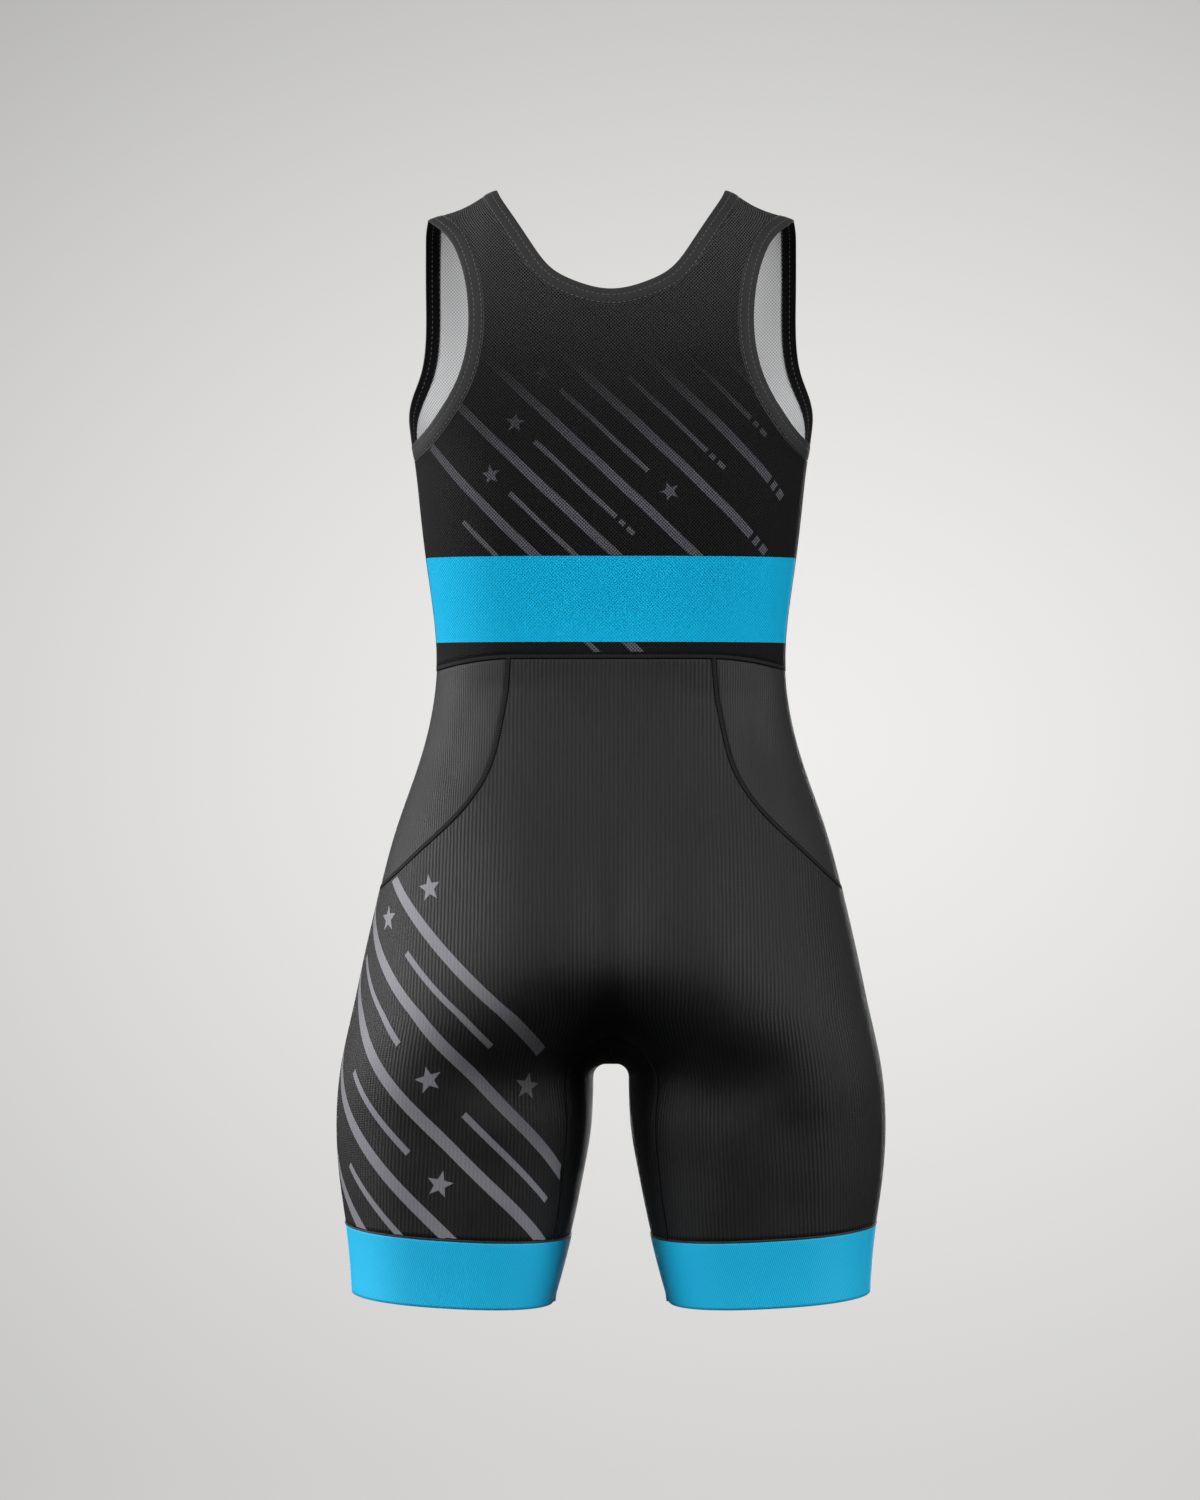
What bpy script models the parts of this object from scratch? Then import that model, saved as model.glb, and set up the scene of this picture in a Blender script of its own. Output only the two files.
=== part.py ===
# A women's cut wrestling singlet, filled out as if worn, with no wearer in it.
# Metres, +Z up. The wearer's back faces -Y and the wearer's right side is at +X.
# The origin is midway between the shoulders, on the line where the straps rest on them.
#
# The whole garment lies on one closed form. Each sewn piece is a patch of that form, bounded
# by its seams, with the cloth's thickness laid inwards. Neighbours stop half a gap short of
# the seam that they share.
from collections import namedtuple

import bmesh
import bpy
import numpy as np

# Driving sizes
CLOTH = 0.001            # wall of the body panels
BAND_CLOTH = 0.0016      # elastic leg band
BINDING_CLOTH = 0.0022   # binding folded round the edge, as one wall
BINDING_PROUD = 0.0006   # how far the binding and the leg band stand out from the panels
BINDING_WIDTH = 0.0115
LEG_BAND_WIDTH = 0.0508  # two inches
SEAM_GAP = 0.0003
EDGE_CLEAR = SEAM_GAP / 2

# The form: a superellipse in every section, narrowing over the shoulders and round the leg gap
ROUNDNESS = 2.3
SHOULDER_REACH = 0.095   # how far below the ridge the form is at full depth
LEG_GAP_TOP = -0.641     # height of the crotch
LEG_GAP_CORNER = 0.009   # radius of the gap's upper corners
SEAT_REACH = 0.092       # how far above the crotch the form is at full depth
TORSO_END = -0.48        # the sections turn from one body to two legs between these heights
LEGS_START = -0.67

Level = namedtuple("Level", "z half_width back front")
LEVELS = (
    Level(0.030, 0.178, 0.076, 0.060),
    Level(-0.060, 0.174, 0.079, 0.068),
    Level(-0.120, 0.166, 0.082, 0.080),
    Level(-0.150, 0.158, 0.085, 0.089),
    Level(-0.180, 0.1485, 0.087, 0.098),
    Level(-0.215, 0.1432, 0.088, 0.106),
    Level(-0.265, 0.1375, 0.083, 0.102),
    Level(-0.300, 0.1326, 0.077, 0.096),
    Level(-0.340, 0.1296, 0.073, 0.092),
    Level(-0.370, 0.1319, 0.075, 0.092),
    Level(-0.400, 0.1380, 0.082, 0.095),
    Level(-0.430, 0.1474, 0.091, 0.098),
    Level(-0.460, 0.1580, 0.101, 0.099),
    Level(-0.490, 0.1668, 0.111, 0.098),
    Level(-0.520, 0.1741, 0.119, 0.096),
    Level(-0.560, 0.1833, 0.126, 0.093),
    Level(-0.600, 0.1918, 0.124, 0.093),
    Level(-0.640, 0.2004, 0.112, 0.093),
    Level(-0.690, 0.2041, 0.099, 0.090),
    Level(-0.730, 0.2013, 0.092, 0.084),
    Level(-0.770, 0.1956, 0.085, 0.078),
    Level(-0.810, 0.1926, 0.080, 0.073),
    Level(-0.830, 0.1920, 0.079, 0.072),
)

GapLevel = namedtuple("GapLevel", "z half_width")
LEG_GAP = (
    GapLevel(-0.641, 0.0130),
    GapLevel(-0.666, 0.0134),
    GapLevel(-0.690, 0.0150),
    GapLevel(-0.720, 0.0201),
    GapLevel(-0.755, 0.0272),
    GapLevel(-0.797, 0.0376),
    GapLevel(-0.830, 0.0470),
)

# Lines drawn on the form, as seen from behind: distance from the middle, and height
Mark = namedtuple("Mark", "x z")
SHOULDER_RIDGE = (
    Mark(0.000, 0.025), Mark(0.050, 0.020), Mark(0.070, 0.0145), Mark(0.085, 0.0095),
    Mark(0.092, 0.0065), Mark(0.100, 0.0015), Mark(0.108, -0.003), Mark(0.118, -0.007),
    Mark(0.128, -0.010), Mark(0.137, -0.013), Mark(0.150, -0.018), Mark(0.180, -0.035),
)
NECK_BACK = (
    Mark(0.000, -0.068), Mark(0.027, -0.062), Mark(0.0435, -0.053), Mark(0.058, -0.035),
    Mark(0.069, -0.018), Mark(0.0775, -0.005), Mark(0.0825, 0.0035), Mark(0.085, 0.0095),
)
NECK_FRONT = (
    Mark(0.000, -0.112), Mark(0.030, -0.107), Mark(0.052, -0.092), Mark(0.067, -0.065),
    Mark(0.075, -0.038), Mark(0.081, -0.014), Mark(0.0838, 0.001), Mark(0.085, 0.0095),
)
ARMHOLE_BACK = (
    Mark(0.1365, -0.0128), Mark(0.1325, -0.0165), Mark(0.124, -0.024), Mark(0.1113, -0.0474),
    Mark(0.1055, -0.078), Mark(0.106, -0.106), Mark(0.117, -0.141), Mark(0.1275, -0.158),
    Mark(0.141, -0.1745), Mark(0.1483, -0.1805),
)
ARMHOLE_FRONT = (
    Mark(0.1365, -0.0128), Mark(0.1375, -0.0165), Mark(0.1387, -0.030), Mark(0.139, -0.065),
    Mark(0.1393, -0.100), Mark(0.1432, -0.126), Mark(0.1492, -0.144), Mark(0.1512, -0.157),
    Mark(0.1500, -0.170), Mark(0.1483, -0.1805),
)
WAIST_HEIGHT = -0.338
WAIST_DROP = 0.0085      # how far the waist seam falls from the middle to the sides
WAIST_LEVEL_HALF = 0.070 # the seam is level this far out
HIP_SEAM = (
    Mark(0.0755, -0.338), Mark(0.078, -0.367), Mark(0.0815, -0.387), Mark(0.0902, -0.420),
    Mark(0.1036, -0.443), Mark(0.1172, -0.4586), Mark(0.137, -0.477), Mark(0.160, -0.4985),
    Mark(0.1715, -0.509),
)
INSEAM = (
    Mark(0.000, -0.6262), Mark(0.0169, -0.6344), Mark(0.0243, -0.6418), Mark(0.0285, -0.656),
    Mark(0.0309, -0.6825), Mark(0.0353, -0.7257), Mark(0.039, -0.7537), Mark(0.0425, -0.775),
)
HEM_HEIGHT = -0.8195     # the hem's plane at the middle of the body
HEM_RISE_OUT = 0.055     # how much it rises for each metre outwards
HEM_RISE_FRONT = 0.055   # and for each metre forwards

# How many steps each piece is made of
BODY_ROWS = 11
NECK_ROWS = 10
UNDERARM_ROWS = 5
ARMHOLE_ROWS = BODY_ROWS + NECK_ROWS - UNDERARM_ROWS
SIDE_STEPS = 9
SEAT_ROWS = 14
HIP_ROWS = 7
HIP_TURN_STEPS = 5
LEG_ROWS = 11
CROTCH_CROWDING = 1.5
PANEL_STEPS = 12
GUSSET_STEPS = 8
BAND_ROWS = 2
BAND_STEPS = 36
FINE = 400               # points along a line before it is divided into steps
SPREADS = 3              # times that a grid is stepped evenly and laid on the form again
ROUNDS = 40              # rounds of moving points, or of halving, until they lie on the form
LONGEST_MOVE = 0.02      # the most a point moves in one round
LONGEST_REACH = 0.2      # no part of a leg is further than this from its middle

BLACK_MESH = ("black_mesh_knit", (0.017, 0.017, 0.018), 0.75)
BLACK_KNIT = ("black_compression_knit", (0.022, 0.022, 0.023), 0.6)
BLACK_BINDING = ("black_binding", (0.018, 0.018, 0.018), 0.8)
CYAN_ELASTIC = ("cyan_elastic", (0.011, 0.345, 0.58), 0.7)

BACK, FRONT = -1, 1


def smooth_line(knots, values):
    """A natural cubic spline through the values, as a function of the knots' parameter."""
    knots = np.asarray(knots, float)
    values = np.asarray(values, float)
    order = np.argsort(knots)
    knots, values = knots[order], values[order]
    gaps = np.diff(knots)
    system = np.eye(len(knots))
    target = np.zeros_like(values)
    for i in range(1, len(knots) - 1):
        system[i, i - 1:i + 2] = gaps[i - 1], 2 * (gaps[i - 1] + gaps[i]), gaps[i]
        target[i] = 6 * ((values[i + 1] - values[i]) / gaps[i]
                         - (values[i] - values[i - 1]) / gaps[i - 1])
    bends = np.linalg.solve(system, target)

    def line(at):
        at = np.clip(at, knots[0], knots[-1])
        i = np.clip(np.searchsorted(knots, at) - 1, 0, len(knots) - 2)
        b = (at - knots[i]) / gaps[i]
        a = 1 - b
        span = gaps[i] ** 2 / 6
        if values.ndim == 2:
            a, b, span = a[:, None], b[:, None], span[:, None]
        return a * values[i] + b * values[i + 1] + ((a ** 3 - a) * bends[i] + (b ** 3 - b) * bends[i + 1]) * span

    return line


def marked_line(marks):
    """Many points along the smooth line through a table of marks, as x and z."""
    places = np.array([(mark.x, mark.z) for mark in marks])
    along = np.concatenate([[0], np.cumsum(np.linalg.norm(np.diff(places, axis=0), axis=1))])
    x, z = smooth_line(along, places)(np.linspace(0, along[-1], FINE)).T
    return x, z


half_width_at = smooth_line([row.z for row in LEVELS], [row.half_width for row in LEVELS])
back_at = smooth_line([row.z for row in LEVELS], [row.back for row in LEVELS])
front_at = smooth_line([row.z for row in LEVELS], [row.front for row in LEVELS])
gap_at = smooth_line([row.z for row in LEG_GAP], [row.half_width for row in LEG_GAP])
ridge_at = smooth_line([mark.x for mark in SHOULDER_RIDGE], [mark.z for mark in SHOULDER_RIDGE])


def swell(share):
    """0 on the form's outline, 1 where it is at full depth, less than 0 outside."""
    return 1 - (1 - np.minimum(share, 1)) ** ROUNDNESS


def fullness(x, z):
    """The form's depth at x, z, as a share of its full depth there, to the power ROUNDNESS."""
    x = np.abs(x)
    outline = half_width_at(z)
    leg_z = np.minimum(z, LEGS_START)
    leg_reach = (half_width_at(leg_z) - gap_at(leg_z)) / 2
    turn = np.clip((TORSO_END - z) / (TORSO_END - LEGS_START), 0, 1)
    turn = turn * turn * (3 - 2 * turn)
    side = swell((outline - x) / (outline + (leg_reach - outline) * turn))
    beside = np.maximum(x - (gap_at(z) - LEG_GAP_CORNER), 0)
    above = np.maximum(z - (LEG_GAP_TOP - LEG_GAP_CORNER), 0)
    gap = swell((np.hypot(beside, above) - LEG_GAP_CORNER) / np.minimum(leg_reach, SEAT_REACH))
    top = swell((ridge_at(x) - z) / SHOULDER_REACH)
    return side * gap * top


def depth_at(z, side):
    return np.where(side < 0, back_at(z), front_at(z))


def lift(x, z, side):
    """The points of the form over x, z, on the back or the front, just clear of the middle."""
    x, z = np.broadcast_arrays(np.asarray(x, float), np.asarray(z, float))
    depth = depth_at(z, side) * np.maximum(fullness(x, z), 0) ** (1 / ROUNDNESS)
    return np.stack([x, side * np.maximum(depth, EDGE_CLEAR), z], axis=-1)


def level_at(x, y, z):
    """0 on the form, below 0 inside it and above 0 outside."""
    return (np.abs(y) / depth_at(z, y)) ** ROUNDNESS - fullness(x, z)


def steepness(points):
    """The level of each point, and the slope of that."""
    x, y, z = np.moveaxis(points, -1, 0)
    step = 1e-5
    along_x = (level_at(x + step, y, z) - level_at(x - step, y, z)) / (2 * step)
    along_z = (level_at(x, y, z + step) - level_at(x, y, z - step)) / (2 * step)
    depth = depth_at(z, y)
    along_y = ROUNDNESS * (np.abs(y) / depth) ** (ROUNDNESS - 1) / depth * np.sign(y)
    return level_at(x, y, z), np.stack([along_x, along_y, along_z], axis=-1)


def outwards(points):
    """The form's unit normals."""
    slope = steepness(points)[1]
    slope[..., 0][np.abs(points[..., 0]) < 1e-9] = 0
    return slope / np.linalg.norm(slope, axis=-1, keepdims=True)


def drape(points):
    """Moves points along the slope of the form until they lie on it."""
    points = np.array(points, float)
    for _ in range(ROUNDS):
        level, slope = steepness(points)
        move = slope * (level / np.maximum((slope ** 2).sum(-1), 1e-9))[..., None]
        size = np.linalg.norm(move, axis=-1, keepdims=True)
        points -= move * np.minimum(1, LONGEST_MOVE / np.maximum(size, 1e-12))
    return points


def shares_along(points):
    """How far along a line each of its points is, from 0 to 1."""
    lengths = np.linalg.norm(np.diff(points, axis=0), axis=1)
    along = np.concatenate([[0], np.cumsum(lengths)])
    return along / along[-1]


def divided(points, shares):
    """The points that lie at given shares of a line's length."""
    along = shares_along(points)
    return np.stack([np.interp(shares, along, points[:, k]) for k in range(3)], axis=-1)


def evenly(points, steps, crowding=1):
    """The same line in equal steps, or with short steps first where crowding is over 1."""
    return divided(points, np.linspace(0, 1, steps + 1) ** crowding)


def joined(*lines):
    """Lines end to end, each point kept once."""
    return np.vstack([line[:-1] for line in lines[:-1]] + [lines[-1]])


def unit(vectors):
    return vectors / np.linalg.norm(vectors, axis=-1, keepdims=True)


def across(loop):
    """Directions that lie on the form and point to the right of a closed line on it."""
    along = np.roll(loop, -1, axis=0) - np.roll(loop, 1, axis=0)
    return unit(np.cross(along, outwards(loop)))


def spread(grid):
    """Steps the inner rows as the first and last are stepped, and lays them on the form."""
    shares = (shares_along(grid[0]) + shares_along(grid[-1])) / 2
    for _ in range(SPREADS):
        for row in grid[1:-1]:
            row[:] = divided(row, shares)
        grid[1:-1, 1:-1] = drape(grid[1:-1, 1:-1])
    return grid


def patch(left, right, bottom, top):
    """A grid between four lines that meet at their ends, laid on the form."""
    t = np.linspace(0, 1, len(left))[:, None, None]
    s = np.linspace(0, 1, len(bottom))[None, :, None]
    sides = (1 - s) * left[:, None] + s * right[:, None]
    ends = (1 - t) * bottom[None] + t * top[None]
    corners = ((1 - s) * (1 - t) * left[0] + s * (1 - t) * right[0]
               + (1 - s) * t * left[-1] + s * t * right[-1])
    grid = sides + ends - corners
    grid[:, 0], grid[:, -1], grid[0], grid[-1] = left, right, bottom, top
    return spread(grid)


def draw_in(grid, edges, open_rows):
    """Moves the named edges of a grid half a gap inwards, square to each edge.

    The first open_rows rows of the left edge stay on the body's middle plane.
    """
    grid = grid.copy()
    lines = {"left": (np.s_[:, 0], np.s_[:, 1]), "right": (np.s_[:, -1], np.s_[:, -2]),
             "bottom": (np.s_[0], np.s_[1]), "top": (np.s_[-1], np.s_[-2])}
    moves = []
    for edge in edges:
        line, inner = lines[edge]
        along = unit(np.gradient(grid[line], axis=0))
        inwards = grid[inner] - grid[line]
        inwards = unit(inwards - along * (inwards * along).sum(-1, keepdims=True))
        moves.append((line, inwards * EDGE_CLEAR))
    for line, move in moves:
        grid[line] += move
    if open_rows:
        grid[:open_rows + 1, 0, 0] = 0
    return grid


def flipped(points):
    """The same points on the other side of the body."""
    return points * np.array([-1, 1, 1])


def new_object(name, vertices, faces, look):
    mesh = bpy.data.meshes.new(name)
    mesh.from_pydata(vertices, [], faces)
    piece = bpy.data.objects.new(name, mesh)
    bpy.data.collections["wrestling_singlet"].objects.link(piece)
    label, colour, roughness = look
    material = bpy.data.materials.get(label)
    if material is None:
        material = bpy.data.materials.new(label)
        material.use_nodes = True
        shader = material.node_tree.nodes["Principled BSDF"]
        shader.inputs["Base Color"].default_value = (*colour, 1)
        shader.inputs["Roughness"].default_value = roughness
        shader.inputs["Metallic"].default_value = 0
    mesh.materials.append(material)
    return piece


def face_outwards(piece):
    shape = bmesh.new()
    shape.from_mesh(piece.data)
    bmesh.ops.recalc_face_normals(shape, faces=shape.faces)
    shape.to_mesh(piece.data)
    shape.free()
    piece.data.shade_smooth()
    piece.data.set_sharp_from_angle(angle=np.radians(40))


def cut_cells(number, points):
    """Two triangles for each cell of a grid of point numbers, cut along its shorter diagonal."""
    a, b, c, d = (corner.ravel() for corner in
                  (number[:-1, :-1], number[:-1, 1:], number[1:, 1:], number[1:, :-1]))
    rising = (np.linalg.norm(points[a] - points[c], axis=1)
              <= np.linalg.norm(points[b] - points[d], axis=1))[:, None]
    first = np.where(rising, np.stack([a, b, c], axis=-1), np.stack([a, b, d], axis=-1))
    second = np.where(rising, np.stack([a, c, d], axis=-1), np.stack([b, c, d], axis=-1))
    return np.vstack([first, second])


def sheet(name, grid, thickness, look, proud=0.0, open_rows=0, round_and_round=False):
    """A wall on the form: an outer and an inner grid, joined round the edges.

    The first open_rows rows of the left edge lie on the body's middle plane. They are left
    open, and a Mirror modifier adds the other half there.
    """
    normals = outwards(grid)
    outer = grid + normals * proud
    inner = grid - normals * (thickness - proud)
    rows, steps = grid.shape[:2]
    number = np.arange(rows * steps).reshape(rows, steps)
    if round_and_round:
        number = np.hstack([number, number[:, :1]])
    under = number + rows * steps
    top = cut_cells(number, grid.reshape(-1, 3))
    edges = [(number[0], under[0]), (number[-1][::-1], under[-1][::-1])]
    if not round_and_round:
        edges.append((number[:, -1], under[:, -1]))
        edges.append((number[open_rows:, 0][::-1], under[open_rows:, 0][::-1]))
    walls = [np.stack([up[1:], up[:-1], low[:-1], low[1:]], axis=-1) for up, low in edges]
    faces = [*top.tolist(), *(top[:, ::-1] + rows * steps).tolist(), *np.vstack(walls).tolist()]
    piece = new_object(name, np.vstack([outer.reshape(-1, 3), inner.reshape(-1, 3)]).tolist(),
                       faces, look)
    face_outwards(piece)
    if open_rows:
        mirror = piece.modifiers.new("other_half", "MIRROR")
        mirror.merge_threshold = 0.00005
    return piece


def waist_line(side, start, end):
    """The waist seam between two distances from the middle. It falls towards the sides."""
    side_x = half_width_at(WAIST_HEIGHT - WAIST_DROP)
    swing = np.linspace(np.arcsin(start / side_x), np.arcsin(end / side_x), FINE)
    x = side_x * np.sin(swing)
    out = np.maximum(x - WAIST_LEVEL_HALF, 0) / (side_x - WAIST_LEVEL_HALF)
    return lift(x, WAIST_HEIGHT - WAIST_DROP * out ** 2, side)


def side_line(low, high):
    """The side seam, on the form's outline."""
    z = np.linspace(low, high, FINE)
    return np.stack([half_width_at(z), np.zeros(FINE), z], axis=-1)


def ridge_line(start, end):
    x = np.linspace(start, end, FINE)
    return np.stack([x, np.zeros(FINE), ridge_at(x)], axis=-1)


def middle_line(high, low, side):
    return lift(0, np.linspace(high, low, FINE), side)


def height_over_hem(points):
    """How far points are above the hem's tilted plane."""
    return points[..., 2] - (HEM_HEIGHT + HEM_RISE_OUT * np.abs(points[..., 0])
                             + HEM_RISE_FRONT * points[..., 1])


def cut_at_band(line):
    """The part of a downward line that lies above the leg band."""
    over = height_over_hem(line) - LEG_BAND_WIDTH
    last = np.argmax(over < 0)
    share = over[last - 1] / (over[last - 1] - over[last])
    return np.vstack([line[:last], line[last - 1] + share * (line[last] - line[last - 1])])


def leg_ring(rise, angles):
    """Points round a leg in a plane a given way above the hem, found by halving."""
    centre = (half_width_at(HEM_HEIGHT + rise) + gap_at(HEM_HEIGHT + rise)) / 2
    cosine, sine = np.cos(angles), np.sin(angles)
    near = np.zeros(len(angles))
    to_middle = centre / np.maximum(-cosine, centre / LONGEST_REACH)
    far = np.where(cosine < 0, to_middle, LONGEST_REACH)
    for _ in range(ROUNDS):
        reach = (near + far) / 2
        points = np.stack([centre + cosine * reach, sine * reach, np.zeros(len(angles))], axis=-1)
        points[:, 2] = rise - height_over_hem(points)
        outside = steepness(points)[0] > 0
        near, far = np.where(outside, near, reach), np.where(outside, reach, far)
    return points


def band_line(start, end):
    """The leg band's top line, the short way round the leg between two points on it."""
    height = HEM_HEIGHT + LEG_BAND_WIDTH
    centre = (half_width_at(height) + gap_at(height)) / 2
    first = np.arctan2(start[1], start[0] - centre)
    last = np.arctan2(end[1], end[0] - centre)
    if abs(last - first) > np.pi:
        last += 2 * np.pi * np.sign(first - last)
    line = leg_ring(LEG_BAND_WIDTH, np.linspace(first, last, FINE))
    line[0], line[-1] = start, end
    return line


def opening(lines):
    """A closed edge, as a function of the distance from it into the panels.

    The lines that make it up meet where x or y is 0, and run with the panels on their right.
    """
    edge = np.vstack([line[:-1] for line in lines])
    towards = across(edge)

    def at(distance):
        level = np.abs(edge[:, 1]) < 1e-9
        middle = np.abs(edge[:, 0]) < 1e-9
        points = edge + towards * distance
        points[level, 1] = 0
        points[middle, 0] = 0
        return drape(points)

    return at


def neck_opening():
    quarters = []
    for marks, side in ((NECK_BACK, BACK), (NECK_FRONT, FRONT)):
        line = evenly(lift(*marked_line(marks), side), NECK_ROWS)
        line[-1, 1] = 0
        quarters.append(line)
    back, front = quarters
    return opening([back, front[::-1], flipped(front), flipped(back)[::-1]])


def armhole_opening():
    quarters = []
    for marks, side in ((ARMHOLE_BACK, BACK), (ARMHOLE_FRONT, FRONT)):
        line = evenly(lift(*marked_line(marks), side), ARMHOLE_ROWS)
        line[[0, -1], 1] = 0
        quarters.append(line)
    back, front = quarters
    return opening([back, front[::-1]])


def upper_panel(name, side, neck_seam, armhole_seam):
    """Front or back above the waist: up the middle and the neck, or the side and the armhole."""
    waist = evenly(waist_line(side, 0, half_width_at(WAIST_HEIGHT - WAIST_DROP)), SIDE_STEPS)
    waist[-1, 1] = 0
    middle = evenly(middle_line(WAIST_HEIGHT, neck_seam[0, 2], side), BODY_ROWS)
    flank = evenly(side_line(waist[-1, 2], armhole_seam[0, 2]), UNDERARM_ROWS)
    ridge = evenly(ridge_line(neck_seam[-1, 0], armhole_seam[-1, 0]), SIDE_STEPS)
    grid = patch(joined(middle, neck_seam), joined(flank, armhole_seam), waist, ridge)
    grid = draw_in(grid, ("left", "right", "bottom", "top"), BODY_ROWS)
    return sheet(name, grid, CLOTH, BLACK_MESH, open_rows=BODY_ROWS)


def hip_seam(side):
    """The hip seam down to where it meets the side, and its upper and lower parts."""
    line = lift(*marked_line(HIP_SEAM), side)
    line[-1] = side_line(HIP_SEAM[-1].z, HIP_SEAM[-1].z)[0]
    line = evenly(line, HIP_ROWS + HIP_TURN_STEPS)
    return line, line[:HIP_ROWS + 1], line[HIP_ROWS:]


def inseam(side):
    return evenly(cut_at_band(lift(*marked_line(INSEAM), side)), LEG_ROWS, CROTCH_CROWDING)


def lower_panel(name, side):
    """Front or back below the waist: one piece over both legs, down to the leg bands."""
    seam = hip_seam(side)[0]
    inner = inseam(side)
    waist = evenly(waist_line(side, 0, seam[0, 0]), PANEL_STEPS)
    middle = evenly(middle_line(WAIST_HEIGHT, inner[0, 2], side), SEAT_ROWS)
    flank = cut_at_band(side_line(seam[-1, 2], HEM_HEIGHT))
    flank = evenly(flank, SEAT_ROWS + LEG_ROWS - len(seam) + 1)
    band = evenly(band_line(inner[-1], flank[-1]), PANEL_STEPS)
    grid = patch(joined(middle, inner), joined(seam, flank), waist, band)
    grid = draw_in(grid, ("left", "right", "bottom", "top"), SEAT_ROWS)
    return sheet(name, grid, CLOTH, BLACK_KNIT, open_rows=SEAT_ROWS)


def hip_panel(name, turn):
    """A panel on the hip, from the seam behind it, round the side, to the seam in front."""
    _, back_upper, back_lower = hip_seam(BACK)
    _, front_upper, front_lower = hip_seam(FRONT)
    side_x = half_width_at(WAIST_HEIGHT - WAIST_DROP)
    waist = joined(evenly(waist_line(BACK, HIP_SEAM[0].x, side_x), HIP_TURN_STEPS),
                   evenly(waist_line(FRONT, HIP_SEAM[0].x, side_x), HIP_TURN_STEPS)[::-1])
    waist[HIP_TURN_STEPS, 1] = 0
    grid = patch(back_upper, front_upper, waist, joined(back_lower, front_lower[::-1]))
    return sheet(name, turn(draw_in(grid, ("left", "right", "bottom", "top"), 0)), CLOTH, BLACK_KNIT)


def inner_leg_panel():
    """The gusset: down the inside of both legs in one piece that passes under the crotch."""
    back, front = inseam(BACK), inseam(FRONT)
    share = np.linspace(0, 1, FINE)[:, None]
    crotch = evenly(drape(back[0] + share * (front[0] - back[0])), GUSSET_STEPS)
    band = evenly(band_line(back[-1], front[-1]), GUSSET_STEPS)
    grid = patch(crotch, band, back, front)
    grid = draw_in(grid, ("right", "bottom", "top"), 0)
    grid[:, 0, 0] = 0
    return sheet("inner_leg_panel", grid, CLOTH, BLACK_KNIT, open_rows=len(grid))


def leg_band(name, turn):
    """An elastic tube round the end of a leg, between two planes parallel to the hem."""
    angles = np.linspace(0, 2 * np.pi, FINE)
    rises = np.linspace(0, LEG_BAND_WIDTH - EDGE_CLEAR, BAND_ROWS + 1)
    grid = np.stack([evenly(leg_ring(rise, angles), BAND_STEPS)[:-1] for rise in rises])
    return sheet(name, turn(grid), BAND_CLOTH, CYAN_ELASTIC, BINDING_PROUD, round_and_round=True)


def binding(name, at, turn):
    """A strip folded round an edge, from its seam on the panels to the fold."""
    grid = np.stack([at(BINDING_WIDTH - EDGE_CLEAR), at(BINDING_WIDTH / 2), at(0)])
    return sheet(name, turn(grid), BINDING_CLOTH, BLACK_BINDING, BINDING_PROUD, round_and_round=True)


def as_is(points):
    return points


def build():
    for item in list(bpy.data.objects):
        bpy.data.objects.remove(item, do_unlink=True)
    garment = bpy.data.collections.new("wrestling_singlet")
    bpy.context.scene.collection.children.link(garment)

    neck, armhole = neck_opening(), armhole_opening()
    neck_seam, armhole_seam = neck(BINDING_WIDTH), armhole(BINDING_WIDTH)
    neck_back = neck_seam[:NECK_ROWS + 1]
    neck_front = neck_seam[NECK_ROWS:2 * NECK_ROWS + 1][::-1]
    armhole_back = armhole_seam[:ARMHOLE_ROWS + 1][::-1]
    armhole_front = np.vstack([armhole_seam[ARMHOLE_ROWS:], armhole_seam[:1]])

    upper_panel("upper_back", BACK, neck_back, armhole_back)
    upper_panel("upper_front", FRONT, neck_front, armhole_front)
    lower_panel("seat_panel", BACK)
    lower_panel("lower_front", FRONT)
    inner_leg_panel()
    binding("neck_binding", neck, as_is)
    for hand, turn in (("left", flipped), ("right", as_is)):
        hip_panel("hip_panel_" + hand, turn)
        leg_band("leg_band_" + hand, turn)
        binding("armhole_binding_" + hand, armhole, turn)


build()
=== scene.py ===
import bmesh
import bpy
import numpy as np
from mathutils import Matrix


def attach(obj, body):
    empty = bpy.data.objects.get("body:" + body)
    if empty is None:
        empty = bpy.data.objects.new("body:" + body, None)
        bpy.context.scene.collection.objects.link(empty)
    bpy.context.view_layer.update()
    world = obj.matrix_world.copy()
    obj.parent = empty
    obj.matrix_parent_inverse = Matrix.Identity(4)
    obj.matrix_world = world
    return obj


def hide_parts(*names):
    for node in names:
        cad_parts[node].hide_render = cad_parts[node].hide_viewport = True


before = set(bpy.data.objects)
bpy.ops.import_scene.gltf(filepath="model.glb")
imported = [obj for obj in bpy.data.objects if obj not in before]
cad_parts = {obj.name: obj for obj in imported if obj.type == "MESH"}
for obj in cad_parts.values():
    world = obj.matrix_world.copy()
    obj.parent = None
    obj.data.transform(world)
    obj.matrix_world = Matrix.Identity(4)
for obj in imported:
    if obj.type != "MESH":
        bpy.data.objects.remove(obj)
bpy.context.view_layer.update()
mm = 0.001
back, front = -1, 1
onPlane = 1e-9               # a point nearer than this to the body's middle plane lies on it
tiny = 1e-12                 # keeps divisions away from zero

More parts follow.
